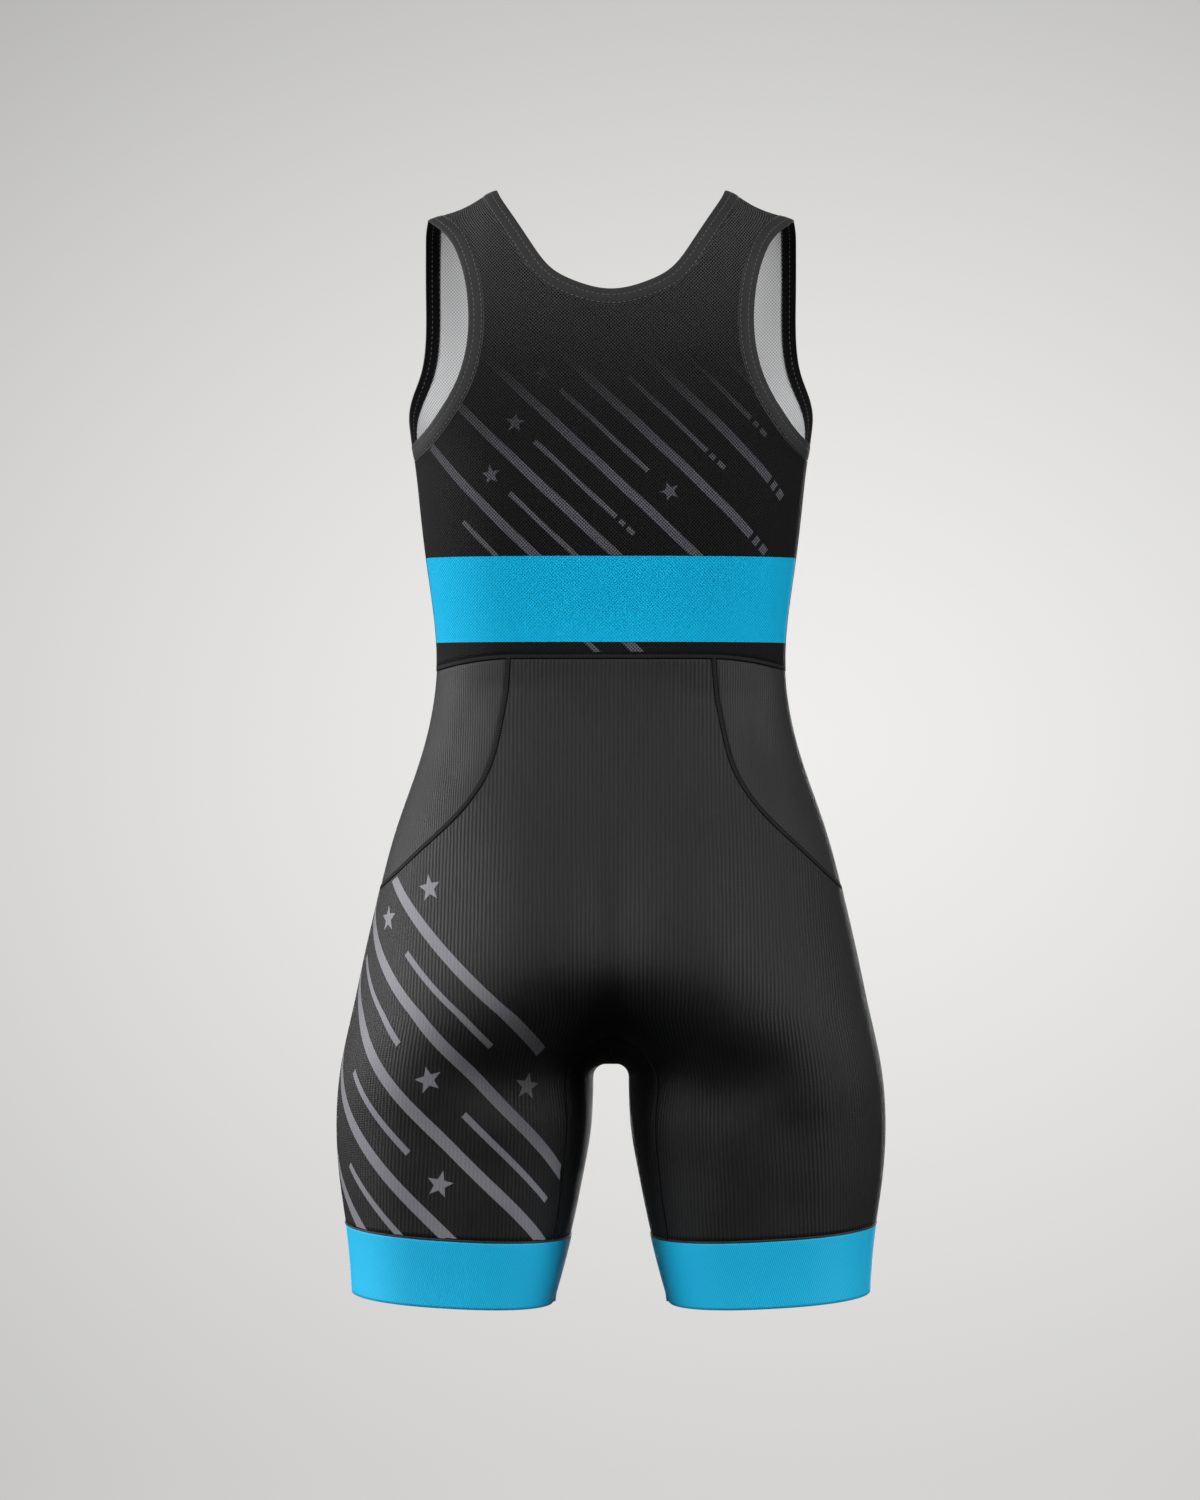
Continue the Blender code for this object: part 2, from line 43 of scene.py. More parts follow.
form = {
    "roundness": 2.3,        # power of the superellipse in every section
    "shoulderReach": 0.095,  # how far below the ridge the form is at full depth
    "gapTop": -0.641,        # height of the crotch
    "gapCorner": 0.009,      # radius that rounds the gap's top
    "rimDepth": 0.15 * mm,   # depth left at the very outline
    "seatReach": 0.092,      # how far from the gap the form is at full depth, at most
    "torsoEnd": -0.48,       # one body turns into two legs between these heights
    "legsStart": -0.67,
    # height, half width, depth behind, depth in front
    "levels": (
        (0.030, 0.178, 0.076, 0.060), (-0.060, 0.174, 0.079, 0.068), (-0.120, 0.166, 0.082, 0.080),
        (-0.150, 0.158, 0.085, 0.089), (-0.180, 0.1485, 0.087, 0.098), (-0.215, 0.1432, 0.088, 0.106),
        (-0.265, 0.1375, 0.083, 0.102), (-0.300, 0.1326, 0.077, 0.096), (-0.340, 0.1296, 0.073, 0.092),
        (-0.370, 0.1319, 0.075, 0.092), (-0.400, 0.1380, 0.082, 0.095), (-0.430, 0.1474, 0.091, 0.098),
        (-0.460, 0.1580, 0.101, 0.099), (-0.490, 0.1668, 0.111, 0.098), (-0.520, 0.1741, 0.119, 0.096),
        (-0.560, 0.1833, 0.126, 0.093), (-0.600, 0.1918, 0.124, 0.093), (-0.640, 0.2004, 0.112, 0.093),
        (-0.690, 0.2041, 0.099, 0.090), (-0.730, 0.2013, 0.092, 0.084), (-0.770, 0.1956, 0.085, 0.078),
        (-0.810, 0.1926, 0.080, 0.073), (-0.830, 0.1920, 0.079, 0.072),
    ),
    # height, half width of the gap between the legs
    "legGap": (
        (-0.641, 0.0130), (-0.666, 0.0134), (-0.690, 0.0150), (-0.720, 0.0201), (-0.755, 0.0272),
        (-0.797, 0.0376), (-0.830, 0.0470),
    ),
    # distance from the middle, height of the shoulder's ridge
    "ridge": (
        (0.000, 0.025), (0.050, 0.020), (0.070, 0.0145), (0.085, 0.0095), (0.092, 0.0065),
        (0.100, 0.0015), (0.108, -0.003), (0.118, -0.007), (0.128, -0.010), (0.137, -0.013),
        (0.150, -0.018), (0.180, -0.035),
    ),
}
linePoints = 600             # points along a line before it is divided into steps
patchRounds = 3              # how often a patch's rows are stepped evenly and laid on the form
draping = {"rounds": 30, "longest": 20 * mm, "close": 1e-7, "leastSlope": 1e-9}   # steps onto the form


def smoothLine(knots, values):
    # Natural cubic spline: the bends m solve one three-band system, and each stretch is
    # a*v0 + b*v1 + ((a^3 - a)*m0 + (b^3 - b)*m1) * gap^2 / 6, with a + b = 1.
    order = np.argsort(knots)
    knots, values = np.asarray(knots, float)[order], np.asarray(values, float)[order]
    values = values.reshape(len(knots), -1)
    gaps = np.diff(knots)
    inner = np.arange(1, len(knots) - 1)
    system = np.eye(len(knots))
    system[inner, inner - 1], system[inner, inner + 1] = gaps[:-1], gaps[1:]
    system[inner, inner] = 2 * (gaps[:-1] + gaps[1:])
    target = np.zeros_like(values)
    target[1:-1] = 6 * np.diff(np.diff(values, axis=0) / gaps[:, None], axis=0)
    bends = np.linalg.solve(system, target)

    def line(at):
        at = np.clip(np.asarray(at, float), knots[0], knots[-1])
        i = np.clip(np.searchsorted(knots, at) - 1, 0, len(knots) - 2)
        b = ((at - knots[i]) / gaps[i])[..., None]
        a = 1 - b
        span = (gaps[i] ** 2 / 6)[..., None]
        bend = (a ** 3 - a) * bends[i] + (b ** 3 - b) * bends[i + 1]
        found = a * values[i] + b * values[i + 1] + bend * span
        return found[..., 0] if values.shape[1] == 1 else found

    return line


levels = np.array(form["levels"]).T
halfWidthAt, backAt, frontAt = (smoothLine(levels[0], column) for column in levels[1:])
gapAt, ridgeAt = (smoothLine(*np.array(form[table]).T) for table in ("legGap", "ridge"))


def ease(share):
    # A smooth step from 0 to 1: share^2 * (3 - 2 * share)
    share = np.clip(share, 0, 1)
    return share * share * (3 - 2 * share)


def swell(share):
    # 0 on the outline and 1 at full depth: 1 - (1 - share)^roundness
    return 1 - (1 - np.minimum(share, 1)) ** form["roundness"]


def fullness(x, z):
    # The product of three swells: in from the side, away from the leg gap, and down from the ridge.
    x = np.abs(x)
    outline = halfWidthAt(z)
    legZ = np.minimum(z, form["legsStart"])
    legReach = (halfWidthAt(legZ) - gapAt(legZ)) / 2
    turn = ease((form["torsoEnd"] - z) / (form["torsoEnd"] - form["legsStart"]))
    side = swell((outline - x) / (outline + (legReach - outline) * turn))
    corner = form["gapCorner"]
    beside = np.maximum(x - (gapAt(z) - corner), 0)
    above = np.maximum(z - (form["gapTop"] - corner), 0)
    gap = swell((np.hypot(beside, above) - corner) / np.minimum(legReach, form["seatReach"]))
    return side * gap * swell((ridgeAt(x) - z) / form["shoulderReach"])


def depthAt(z, side):
    return np.where(side < 0, backAt(z), frontAt(z))


def lift(x, z, side):
    # y = side * depth * fullness^(1 / roundness)
    x, z = np.broadcast_arrays(np.asarray(x, float), np.asarray(z, float))
    y = depthAt(z, side) * np.maximum(fullness(x, z), 0) ** (1 / form["roundness"])
    return np.stack([x, side * np.maximum(y, form["rimDepth"]), z], axis=-1)


def levelAt(x, y, z):
    # (|y| / depth)^roundness - fullness: 0 on the form and more than 0 outside it
    return (np.abs(y) / depthAt(z, y)) ** form["roundness"] - fullness(x, z)


def steepness(points):
    # The level and its slope, by differences along x and z and by the power rule along y.
    x, y, z = np.moveaxis(points, -1, 0)
    step = 1e-5
    alongX = (levelAt(x + step, y, z) - levelAt(x - step, y, z)) / (2 * step)
    alongZ = (levelAt(x, y, z + step) - levelAt(x, y, z - step)) / (2 * step)
    depth, power = depthAt(z, y), form["roundness"]
    alongY = power * (np.abs(y) / depth) ** (power - 1) / depth * np.sign(y)
    return levelAt(x, y, z), np.stack([alongX, alongY, alongZ], axis=-1)


def unit(vectors):
    return vectors / np.maximum(np.linalg.norm(vectors, axis=-1, keepdims=True), tiny)


def outwards(points):
    slope = steepness(points)[1]
    slope[..., 0][np.abs(points[..., 0]) < onPlane] = 0
    return unit(slope)


def drape(points):
    # Newton's steps down the slope, none of them too long, until the points lie on the form.
    points = np.array(points, float)
    for _ in range(draping["rounds"]):
        level, slope = steepness(points)
        move = slope * (level / np.maximum((slope ** 2).sum(-1), draping["leastSlope"]))[..., None]
        size = np.linalg.norm(move, axis=-1, keepdims=True)
        points -= move * np.minimum(1, draping["longest"] / np.maximum(size, tiny))
        if size.max() < draping["close"]:
            break
    return points


def asIs(points):
    return points


def flipped(points):
    return points * np.array([-1, 1, 1])


def bothSides(points):
    return points, flipped(points)


hands = (("Right", asIs), ("Left", flipped))
sides = (("Back", back), ("Front", front))


def running(points):
    # The length along a line from its start to each of its points.
    return np.concatenate([[0], np.cumsum(np.linalg.norm(np.diff(points, axis=0), axis=1))])


def sharesAlong(points):
    along = running(points)
    return along / along[-1]


def lengthOf(points):
    return running(points)[-1]


def divided(points, shares):
    along = sharesAlong(points)
    return np.stack([np.interp(shares, along, points[:, k]) for k in range(3)], axis=-1)


def evenly(points, steps, crowding=1):
    return divided(points, np.linspace(0, 1, steps + 1) ** crowding)


def joined(*lines):
    return np.vstack([line[:-1] for line in lines[:-1]] + [lines[-1]])


def markedLine(marks, fromMiddle=False):
    # The smooth line through a table of marks, as x and z. One that starts at the body's middle is
    # drawn together with its mirror image, so that the two meet there without a corner.
    places = np.array(marks, float)
    if fromMiddle:
        places = np.vstack([places[:0:-1] * (-1, 1), places])
    along = running(places)
    start = along[len(marks) - 1] if fromMiddle else 0
    line = smoothLine(along, places)(np.linspace(start, along[-1], linePoints))
    line[0], line[-1] = marks[0], marks[-1]
    return line.T


def patch(left, right, bottom, top):
    # Coons patch: (sides blended across) + (ends blended up) - (corners blended both ways),
    # then each row is stepped evenly and laid on the form, a few times.
    t = np.linspace(0, 1, len(left))[:, None, None]
    s = np.linspace(0, 1, len(bottom))[None, :, None]
    grid = ((1 - s) * left[:, None] + s * right[:, None] + (1 - t) * bottom[None] + t * top[None]
            - (1 - s) * (1 - t) * left[0] - s * (1 - t) * right[0]
            - (1 - s) * t * left[-1] - s * t * right[-1])
    grid[:, 0], grid[:, -1], grid[0], grid[-1] = left, right, bottom, top
    shares = (sharesAlong(grid[0]) + sharesAlong(grid[-1])) / 2
    for _ in range(patchRounds):
        for row in grid[1:-1]:
            row[:] = divided(row, shares)
        grid[1:-1, 1:-1] = drape(grid[1:-1, 1:-1])
    return grid


creases = {
    # side, places as (x, z) in mm, width mm, height mm (below 0 is a trough)
    "seatValley": (back, ((0, -440), (0, -510), (0, -585), (0, -650)), 22, -6.4),
    "underSeatLeft": (back, ((-6, -638), (-52, -650), (-98, -648), (-142, -628)), 25, -5.6),
    "underSeatRight": (back, ((6, -640), (56, -653), (104, -650), (148, -628)), 26, -5.8),
    "seatLeft": (back, ((-60, -420), (-68, -628)), 40, 4.8),
    "seatRight": (back, ((60, -420), (69, -630)), 40, 5.0),
    "rightLegTrough": (back, ((137, -650), (131, -712), (127, -768)), 16, -2.3),
    "rightLegBand": (back, ((92, -655), (86, -715), (82, -770)), 17, 1.7),
    "leftLegTrough": (back, ((-122, -650), (-122, -722), (-124, -768)), 17, -1.6),
    "leftLegBand": (back, ((-82, -655), (-80, -766)), 18, 1.4),
    "rightHipTrough": (back, ((98, -356), (107, -398), (120, -440)), 13, -1.5),
    "leftHipTrough": (back, ((-100, -360), (-111, -404), (-126, -446)), 13, -1.2),
    "smallOfBack": (back, ((0, -150), (0, -260), (0, -372)), 28, -2.6),
    "bladeLeft": (back, ((-66, -58), (-64, -140)), 34, 2.6),
    "bladeRight": (back, ((65, -56), (64, -138)), 34, 2.6),
    "waistFoldLeft": (back, ((-30, -352), (-72, -362), (-116, -358)), 7, -0.8),
    "waistFoldRight": (back, ((36, -358), (76, -368), (118, -361)), 7, -0.9),
    "groinLeft": (front, ((-132, -560), (-84, -598), (-34, -632)), 10, -2.8),
    "groinRight": (front, ((134, -556), (82, -600), (32, -634)), 10, -2.6),
    "frontMiddle": (front, ((0, -470), (0, -560), (0, -632)), 20, -2.0),
    "bellyFold": (front, ((-66, -352), (-8, -362), (58, -354)), 8, -1.1),
    "bellyFoldLow": (front, ((-38, -396), (16, -404), (74, -392)), 9, -0.9),
    "chestFoldLeft": (front, ((-128, -196), (-96, -206), (-62, -196)), 9, -1.6),
    "chestFoldRight": (front, ((129, -192), (98, -204), (64, -197)), 9, -1.4),
    "breastbone": (front, ((0, -150), (0, -205), (0, -260)), 24, -3.2),
    "frontLegLeft": (front, ((-118, -664), (-112, -720), (-114, -762)), 13, -1.7),
    "frontLegRight": (front, ((112, -668), (119, -718), (116, -764)), 13, -1.9),
    "frontThighLeft": (front, ((-88, -640), (-84, -740)), 20, 1.4),
    "frontThighRight": (front, ((92, -640), (86, -742)), 20, 1.4),
}
creaseRule = {
    "ends": 0.32,            # share of a crease's length over which each end fades
    "uneven": 0.22,          # how much a crease swells and thins along its length
    "waves": 9.4,            # radians of that swelling, from end to end
    "reach": 3.2,            # a crease ends at this many widths from its line
    "points": 60, "steps": 14,   # of a straight crease's line, before and after it is divided
}


def strokeHeight(points, side, places, width, height):
    # height * exp(-(distance / width)^2), faded at both ends by a smooth step and uneven along
    # its length by one slow sine; distance is to the nearest point of a polyline laid on the form.
    marks = np.array(places) * mm
    flatLine = markedLine(marks) if len(marks) > 2 else np.linspace(*marks, creaseRule["points"]).T
    line = evenly(lift(*flatLine, side), creaseRule["steps"])
    starts, along = line[:-1], np.diff(line, axis=0)
    t = np.clip(((points[:, None] - starts) * along).sum(-1) / (along ** 2).sum(-1), 0, 1)
    gaps = np.linalg.norm(points[:, None] - starts - t[..., None] * along, axis=-1)
    nearest = gaps.argmin(axis=1)
    rows = np.arange(len(points))
    share = (nearest + t[rows, nearest]) / len(along)
    ends = ease(np.minimum(share, 1 - share) / creaseRule["ends"])
    uneven = 1 + creaseRule["uneven"] * np.sin(share * creaseRule["waves"] + places[0][0])
    return height * mm * np.exp(-(gaps[rows, nearest] / (width * mm)) ** 2) * ends * uneven


def creaseAt(points):
    # The sum of all creases. Each is worked out only for the points in reach of it.
    flat = points.reshape(-1, 3)
    total = np.zeros(len(flat))
    for side, places, width, height in creases.values():
        reach = creaseRule["reach"] * width * mm
        low, high = np.min(places, axis=0) * mm - reach, np.max(places, axis=0) * mm + reach
        inReach = (flat[:, [0, 2]] > low) & (flat[:, [0, 2]] < high)
        near = inReach.all(axis=1) & (flat[:, 1] * side > -reach)
        if near.any():
            total[near] += strokeHeight(flat[near], side, places, width, height)
    return total.reshape(points.shape[:-1])


def placed(points, height=0.0):
    # base point + normal * (crease + height)
    return points + outwards(points) * (creaseAt(points) + height)[..., None]


levelStart = -0.60           # below this height, the cloth is measured from each leg's own middle


def arcsAcross(z, side, steps=64):
    # Lengths along the form's section at each height, from the middle out to the outline:
    # x = outline * sin(swing), so that the steps shorten where the section turns.
    swing = np.linspace(0, np.pi / 2, steps + 1)
    x = halfWidthAt(z)[..., None] * np.sin(swing)
    section = lift(x, np.broadcast_to(z[..., None], x.shape), side)
    lengths = np.linalg.norm(np.diff(section, axis=-2), axis=-1)
    return x, np.concatenate([np.zeros_like(x[..., :1]), np.cumsum(lengths, axis=-1)], axis=-1)


def rowInterp(at, knots, values):
    # Linear interpolation row by row: the knots rise along each row.
    i = np.clip((knots < at[:, None]).sum(1) - 1, 0, knots.shape[1] - 2)
    rows = np.arange(len(at))
    low, high = knots[rows, i], knots[rows, i + 1]
    share = np.clip((at - low) / np.maximum(high - low, tiny), 0, 1)
    return values[rows, i] + share * (values[rows, i + 1] - values[rows, i])


def legMiddle(z, side):
    # The length across the cloth from the body's middle to the middle of a leg, at each height.
    return rowInterp((halfWidthAt(z) + gapAt(z)) / 2, *arcsAcross(z, side))


def shiftAt(z, side):
    # Above levelStart nothing. Below it, the leg's middle keeps the place that it has at levelStart.
    shift = np.zeros_like(z)
    low = z < levelStart
    if low.any():
        shift[low] = legMiddle(np.array([levelStart]), side) - legMiddle(z[low], side)
    return shift


def clothPlaces(points):
    # u = length across the cloth from the middle, v = height; both in metres.
    flat = points.reshape(-1, 3)
    u = np.zeros(len(flat))
    for side in (back, front):
        chosen = flat[:, 1] * side >= 0
        if chosen.any():
            x, z = np.abs(flat[chosen, 0]), flat[chosen, 2]
            knots, arcs = arcsAcross(z, side)
            u[chosen] = np.sign(flat[chosen, 0]) * (rowInterp(x, knots, arcs) + shiftAt(z, side))
    return np.stack([u, flat[:, 2]], axis=-1).reshape(*points.shape[:-1], 2)


def onCloth(u, z, side):
    # The other way: the point of the form at a length u across the cloth and a height z.
    knots, arcs = arcsAcross(z.ravel(), side)
    x = rowInterp(np.abs(u).ravel() - shiftAt(z.ravel(), side), arcs, knots).reshape(u.shape)
    return lift(np.sign(u) * x, z, side)


def fromHex(code):
    # sRGB to linear: c / 12.92 below 0.04045, else ((c + 0.055) / 1.055)^2.4
    c = np.array([int(code[i:i + 2], 16) for i in (1, 3, 5)]) / 255
    return (*np.where(c <= 0.04045, c / 12.92, ((c + 0.055) / 1.055) ** 2.4).tolist(), 1.0)


def fill(tree, node, sockets):
    # Gives sockets their values, or links them to the outputs of other nodes.
    for socket, value in sockets.items():
        if isinstance(value, bpy.types.NodeSocket):
            tree.links.new(value, node.inputs[socket])
        else:
            node.inputs[socket].default_value = value


def addNode(tree, kind, sockets=None, **settings):
    made = tree.nodes.new(kind)
    for option, value in settings.items():
        setattr(made, option, value)
    fill(tree, made, sockets or {})
    return made


def newMaterial(name, roughness, ior=1.5, gloss=0.5, sheen=0.0, sheenRoughness=0.5):
    material = bpy.data.materials.new(name)
    material.use_nodes = True
    tree = material.node_tree
    surface = tree.nodes["Principled BSDF"]
    fill(tree, surface, {"Roughness": roughness, "IOR": ior, "Specular IOR Level": gloss,
                         "Sheen Weight": sheen, "Sheen Roughness": sheenRoughness})
    return tree, surface, material


def clothUv(tree):
    return addNode(tree, "ShaderNodeUVMap", uv_map="cloth").outputs["UV"]


def objectPlace(tree):
    return addNode(tree, "ShaderNodeTexCoord").outputs["Object"]


def computed(tree, operation, *values):
    return addNode(tree, "ShaderNodeMath", dict(enumerate(values)), operation=operation).outputs[0]


def scaled(tree, value, low, high):
    return addNode(tree, "ShaderNodeMapRange", {"Value": value, "To Min": low, "To Max": high}).outputs[0]


def eased(tree, value, start, end, low=0.0, high=1.0):
    # A smooth step from low to high, while the value goes from start to end.
    return addNode(tree, "ShaderNodeMapRange",
                   {"Value": value, "From Min": start, "From Max": end, "To Min": low, "To Max": high},
                   interpolation_type="SMOOTHSTEP").outputs[0]


def resized(tree, vector, scale):
    return addNode(tree, "ShaderNodeVectorMath", {0: vector, "Scale": scale}, operation="SCALE").outputs[0]


def noise(tree, place, scale, detail, output="Fac"):
    sockets = {"Vector": place, "Scale": scale, "Detail": detail}
    return addNode(tree, "ShaderNodeTexNoise", sockets).outputs[output]


def distanceFrom(tree, centre, radii):
    # Distance from a centre, counted in the radii of an ellipsoid round it.
    centre, radii = np.array(centre), np.array(radii)
    counted = addNode(tree, "ShaderNodeMapping", {"Vector": objectPlace(tree), "Scale": tuple(1 / radii),
                                                  "Location": tuple(-centre / radii)}).outputs[0]
    return addNode(tree, "ShaderNodeVectorMath", {0: counted}, operation="LENGTH").outputs["Value"]


def mixColours(tree, factor, low, high):
    low, high = (fromHex(colour) if isinstance(colour, str) else colour for colour in (low, high))
    return addNode(tree, "ShaderNodeMix", {0: factor, 6: low, 7: high}, data_type="RGBA").outputs[2]


def heights(tree, *parts):
    # The sum of value * weight over the parts.
    total = 0.0
    for value, weight in parts:
        total = computed(tree, "MULTIPLY_ADD", value, weight, total)
    return total


def bump(tree, surface, height, distance, strength=1.0):
    made = addNode(tree, "ShaderNodeBump", {"Height": height, "Distance": distance, "Strength": strength})
    fill(tree, surface, {"Normal": made.outputs[0]})


knit = {
    "black": "#1a1a1a", "hole": "#010101", "cyan": "#08b4e1", "cyanHole": "#0596c3",
    "paintedLitShoulderGrey": "#464646", "paintedLightFrom": 0.0, "paintedLightTo": -0.18,   # painted light: the black is painted lighter near the shoulders and fades into the full black between these heights
    "reverse": "#e2e2e3", "reverseHole": "#a8a9ab", "print": "#605f66", "printHole": "#252528",
    "legPrint": "#737278", "meshGloss": 0.06, "knitGloss": 0.19,
    "dotPitch": 2.5 * mm, "dotRadius": 0.76 * mm,
    "dotEdge": (0.6, 1.25),                               # a dot fades between these shares of its radius
    "walePitch": 3.1 * mm, "hipPitch": 2.1 * mm, "coursePitch": 1.3 * mm,
    "waver": 1.6 * mm, "waverScale": (90.0, 22.0, 1.0),   # how far the wales stray, and how often
    "cloudScale": 38.0,                                   # soft patches in the dye
    "bindingPitch": 0.9 * mm, "elasticPitch": 1.5 * mm,
    "rungPitch": 1.8 * mm, "ladderHalf": 1.35 * mm,
    "ladderEdge": (0.75, 1.2),                            # a rung fades between these shares of its half
    # painted shade round the crotch: its centre, its radii, the share of them where it starts to lift, and
    # its darkest share
    "crotchShadeCentre": (0.0, 0.0, -0.634), "crotchShadeRadii": (0.16, 50.0, 0.115), "crotchShadeFrom": 0.25, "crotchShadeLevel": 0.2,
    "bandTop": -0.2645, "bandBottom": -0.3274,            # the printed band, which runs all round
    "fadeFrom": -0.105, "fadeTo": -0.235,                 # the print comes up between these heights
}
waveRepeat = 0.31416         # a wave texture of scale 1 repeats at this distance


def ribs(tree, uv, pitch, direction="X"):
    # One sine for each rib.
    return addNode(tree, "ShaderNodeTexWave", {"Vector": uv, "Scale": waveRepeat / pitch},
                   bands_direction=direction).outputs["Fac"]


def staggeredDots(tree, uv):
    # Square cells turned by 45 degrees: the distance to the nearest cell centre, cut at the radius.
    scale = np.sqrt(2) / knit["dotPitch"]
    turned = addNode(tree, "ShaderNodeMapping", {"Vector": uv, "Rotation": (0, 0, np.pi / 4)}).outputs[0]
    cells = addNode(tree, "ShaderNodeTexVoronoi", {"Vector": turned, "Scale": scale, "Randomness": 0.0},
                    voronoi_dimensions="2D").outputs["Distance"]
    return eased(tree, cells, *(knit["dotRadius"] * scale * share for share in knit["dotEdge"]))


def meshKnit(name, printed=False):
    # Polyester pin-dot mesh: circular knitted with small open stitches, then dye-sublimation printed.
    # Its ground is black, with a band of colour between two heights and darker dots where the knit is
    # open. The grey print fades into the black towards the shoulders.
    tree, surface, material = newMaterial(name, 0.62, ior=1.55, gloss=knit["meshGloss"], sheen=0.01,
                                          sheenRoughness=0.45)
    uv = clothUv(tree)
    dots = staggeredDots(tree, uv)
    height = addNode(tree, "ShaderNodeSeparateXYZ", {0: objectPlace(tree)}).outputs["Z"]
    inBand = computed(tree, "MULTIPLY", computed(tree, "LESS_THAN", height, knit["bandTop"]),
                      computed(tree, "GREATER_THAN", height, knit["bandBottom"]))
    # Painted highlight: the black is painted lighter towards the shoulders, as if the upper back caught light
    # from above.
    paintedLightShare = eased(tree, height, knit["paintedLightFrom"], knit["paintedLightTo"])
    black = mixColours(tree, paintedLightShare, knit["paintedLitShoulderGrey"], knit["black"])
    colour = mixColours(tree, dots, mixColours(tree, inBand, knit["hole"], knit["cyanHole"]),
                        mixColours(tree, inBand, black, knit["cyan"]))
    if printed:
        ink = mixColours(tree, dots, knit["printHole"], knit["print"])
        colour = mixColours(tree, eased(tree, height, knit["fadeFrom"], knit["fadeTo"]), colour, ink)
    fill(tree, surface, {"Base Color": colour})
    wales = ribs(tree, uv, knit["dotPitch"] / 2)
    bump(tree, surface, heights(tree, (dots, 1.0), (wales, 0.35)), 0.3 * mm, 0.9)
    return material


def meshReverse():
    # The unprinted inner face of the same mesh: the ink doesn't reach it.
    tree, surface, material = newMaterial("unprintedMeshReverse", 0.8, ior=1.55, gloss=0.35)
    dots = staggeredDots(tree, clothUv(tree))
    fill(tree, surface, {"Base Color": mixColours(tree, dots, knit["reverseHole"], knit["reverse"])})
    bump(tree, surface, dots, 0.12 * mm, 0.5)
    return material


def compressionKnit(name, colour, pitch, contrast):
    # Nylon and elastane warp knit: smooth and close, with fine upright wales and a soft lustre. The
    # wales waver a little, because the cloth is stretched more in one place than in another.
    tree, surface, material = newMaterial(name, 0.5, ior=1.53, gloss=knit["knitGloss"], sheen=0.01,
                                          sheenRoughness=0.35)
    uv = clothUv(tree)
    stretched = addNode(tree, "ShaderNodeMapping", {"Vector": uv, "Scale": knit["waverScale"]}).outputs[0]
    waver = resized(tree, noise(tree, stretched, 1.0, 2.0, "Color"), knit["waver"])
    knitted = addNode(tree, "ShaderNodeVectorMath", {0: uv, 1: waver}).outputs[0]
    wales, fine = ribs(tree, knitted, pitch), ribs(tree, knitted, pitch / 3)
    courses = ribs(tree, knitted, knit["coursePitch"], "Y")
    cloud = noise(tree, uv, knit["cloudScale"], 3.0)
    dark, light = ((*(share * c for c in fromHex(colour)[:3]), 1.0) for share in (1 - contrast, 1 + contrast))
    pattern = heights(tree, (wales, 0.42), (fine, 0.2), (courses, 0.16), (cloud, 0.25))
    # Painted shade round the crotch and under the seat: the colour is scaled down there, darkest at the
    # centre and rising with the distance from it.
    away = distanceFrom(tree, knit["crotchShadeCentre"], knit["crotchShadeRadii"])
    share = eased(tree, away, knit["crotchShadeFrom"], 1.0, knit["crotchShadeLevel"])
    fill(tree, surface, {"Base Color": resized(tree, mixColours(tree, pattern, dark, light), share),
                         "Roughness": scaled(tree, cloud, 0.46, 0.6)})
    bump(tree, surface, heights(tree, (wales, 1.0), (fine, 0.3), (courses, 0.3)), 0.3 * mm, contrast)
    return material


def bindingKnit(name, colour, gloss):
    # Folded polyester binding: a close rib across the strip, pressed flat by its two rows of stitches.
    tree, surface, material = newMaterial(name, 0.66, ior=1.55, gloss=gloss, sheen=0.01)
    uv = clothUv(tree)
    fill(tree, surface, {"Base Color": fromHex(colour)})
    rib, cross = (ribs(tree, uv, knit["bindingPitch"], direction) for direction in "XY")
    bump(tree, surface, heights(tree, (rib, 1.0), (cross, 0.6)), 0.12 * mm, 0.6)
    return material


def legElastic():
    # Woven and knitted elastic tape, dyed through: fine upright ribs, each over one rubber core.
    tree, surface, material = newMaterial("cyanRibbedElastic", 0.55, gloss=0.2, sheen=0.02)
    rib = ribs(tree, clothUv(tree), knit["elasticPitch"])
    fill(tree, surface, {"Base Color": mixColours(tree, scaled(tree, rib, 0.15, 1.0), "#0c97c6", "#17b8e4")})
    bump(tree, surface, rib, 0.16 * mm, 0.6)
    return material


def seamThread():
    # Flatlock seam in textured nylon: a ladder of cover threads between two rows of needle holes.
    tree, surface, material = newMaterial("blackFlatlockThread", 0.7, ior=1.53, gloss=0.08)
    uv = clothUv(tree)
    rungs = ribs(tree, uv, knit["rungPitch"])
    aside = computed(tree, "ABSOLUTE", addNode(tree, "ShaderNodeSeparateXYZ", {0: uv}).outputs["Y"])
    middle = eased(tree, aside, *(knit["ladderHalf"] * share for share in knit["ladderEdge"]), 1.0, 0.0)
    lace = computed(tree, "MULTIPLY", scaled(tree, rungs, 0.15, 1.0), middle)
    edge = computed(tree, "MULTIPLY_ADD", scaled(tree, rungs, 0.35, -0.35), middle, lace)
    fill(tree, surface, {"Base Color": mixColours(tree, lace, "#020202", "#262628")})
    bump(tree, surface, edge, 0.5 * mm)
    return material


def plainThread(name, colour):
    # Spun polyester thread: one colour, with a fine twist along each stitch.
    tree, surface, material = newMaterial(name, 0.5, ior=1.55, gloss=0.3, sheen=0.1)
    fill(tree, surface, {"Base Color": fromHex(colour)})
    bump(tree, surface, noise(tree, objectPlace(tree), 2600.0, 1.0), 0.1 * mm, 0.5)
    return material


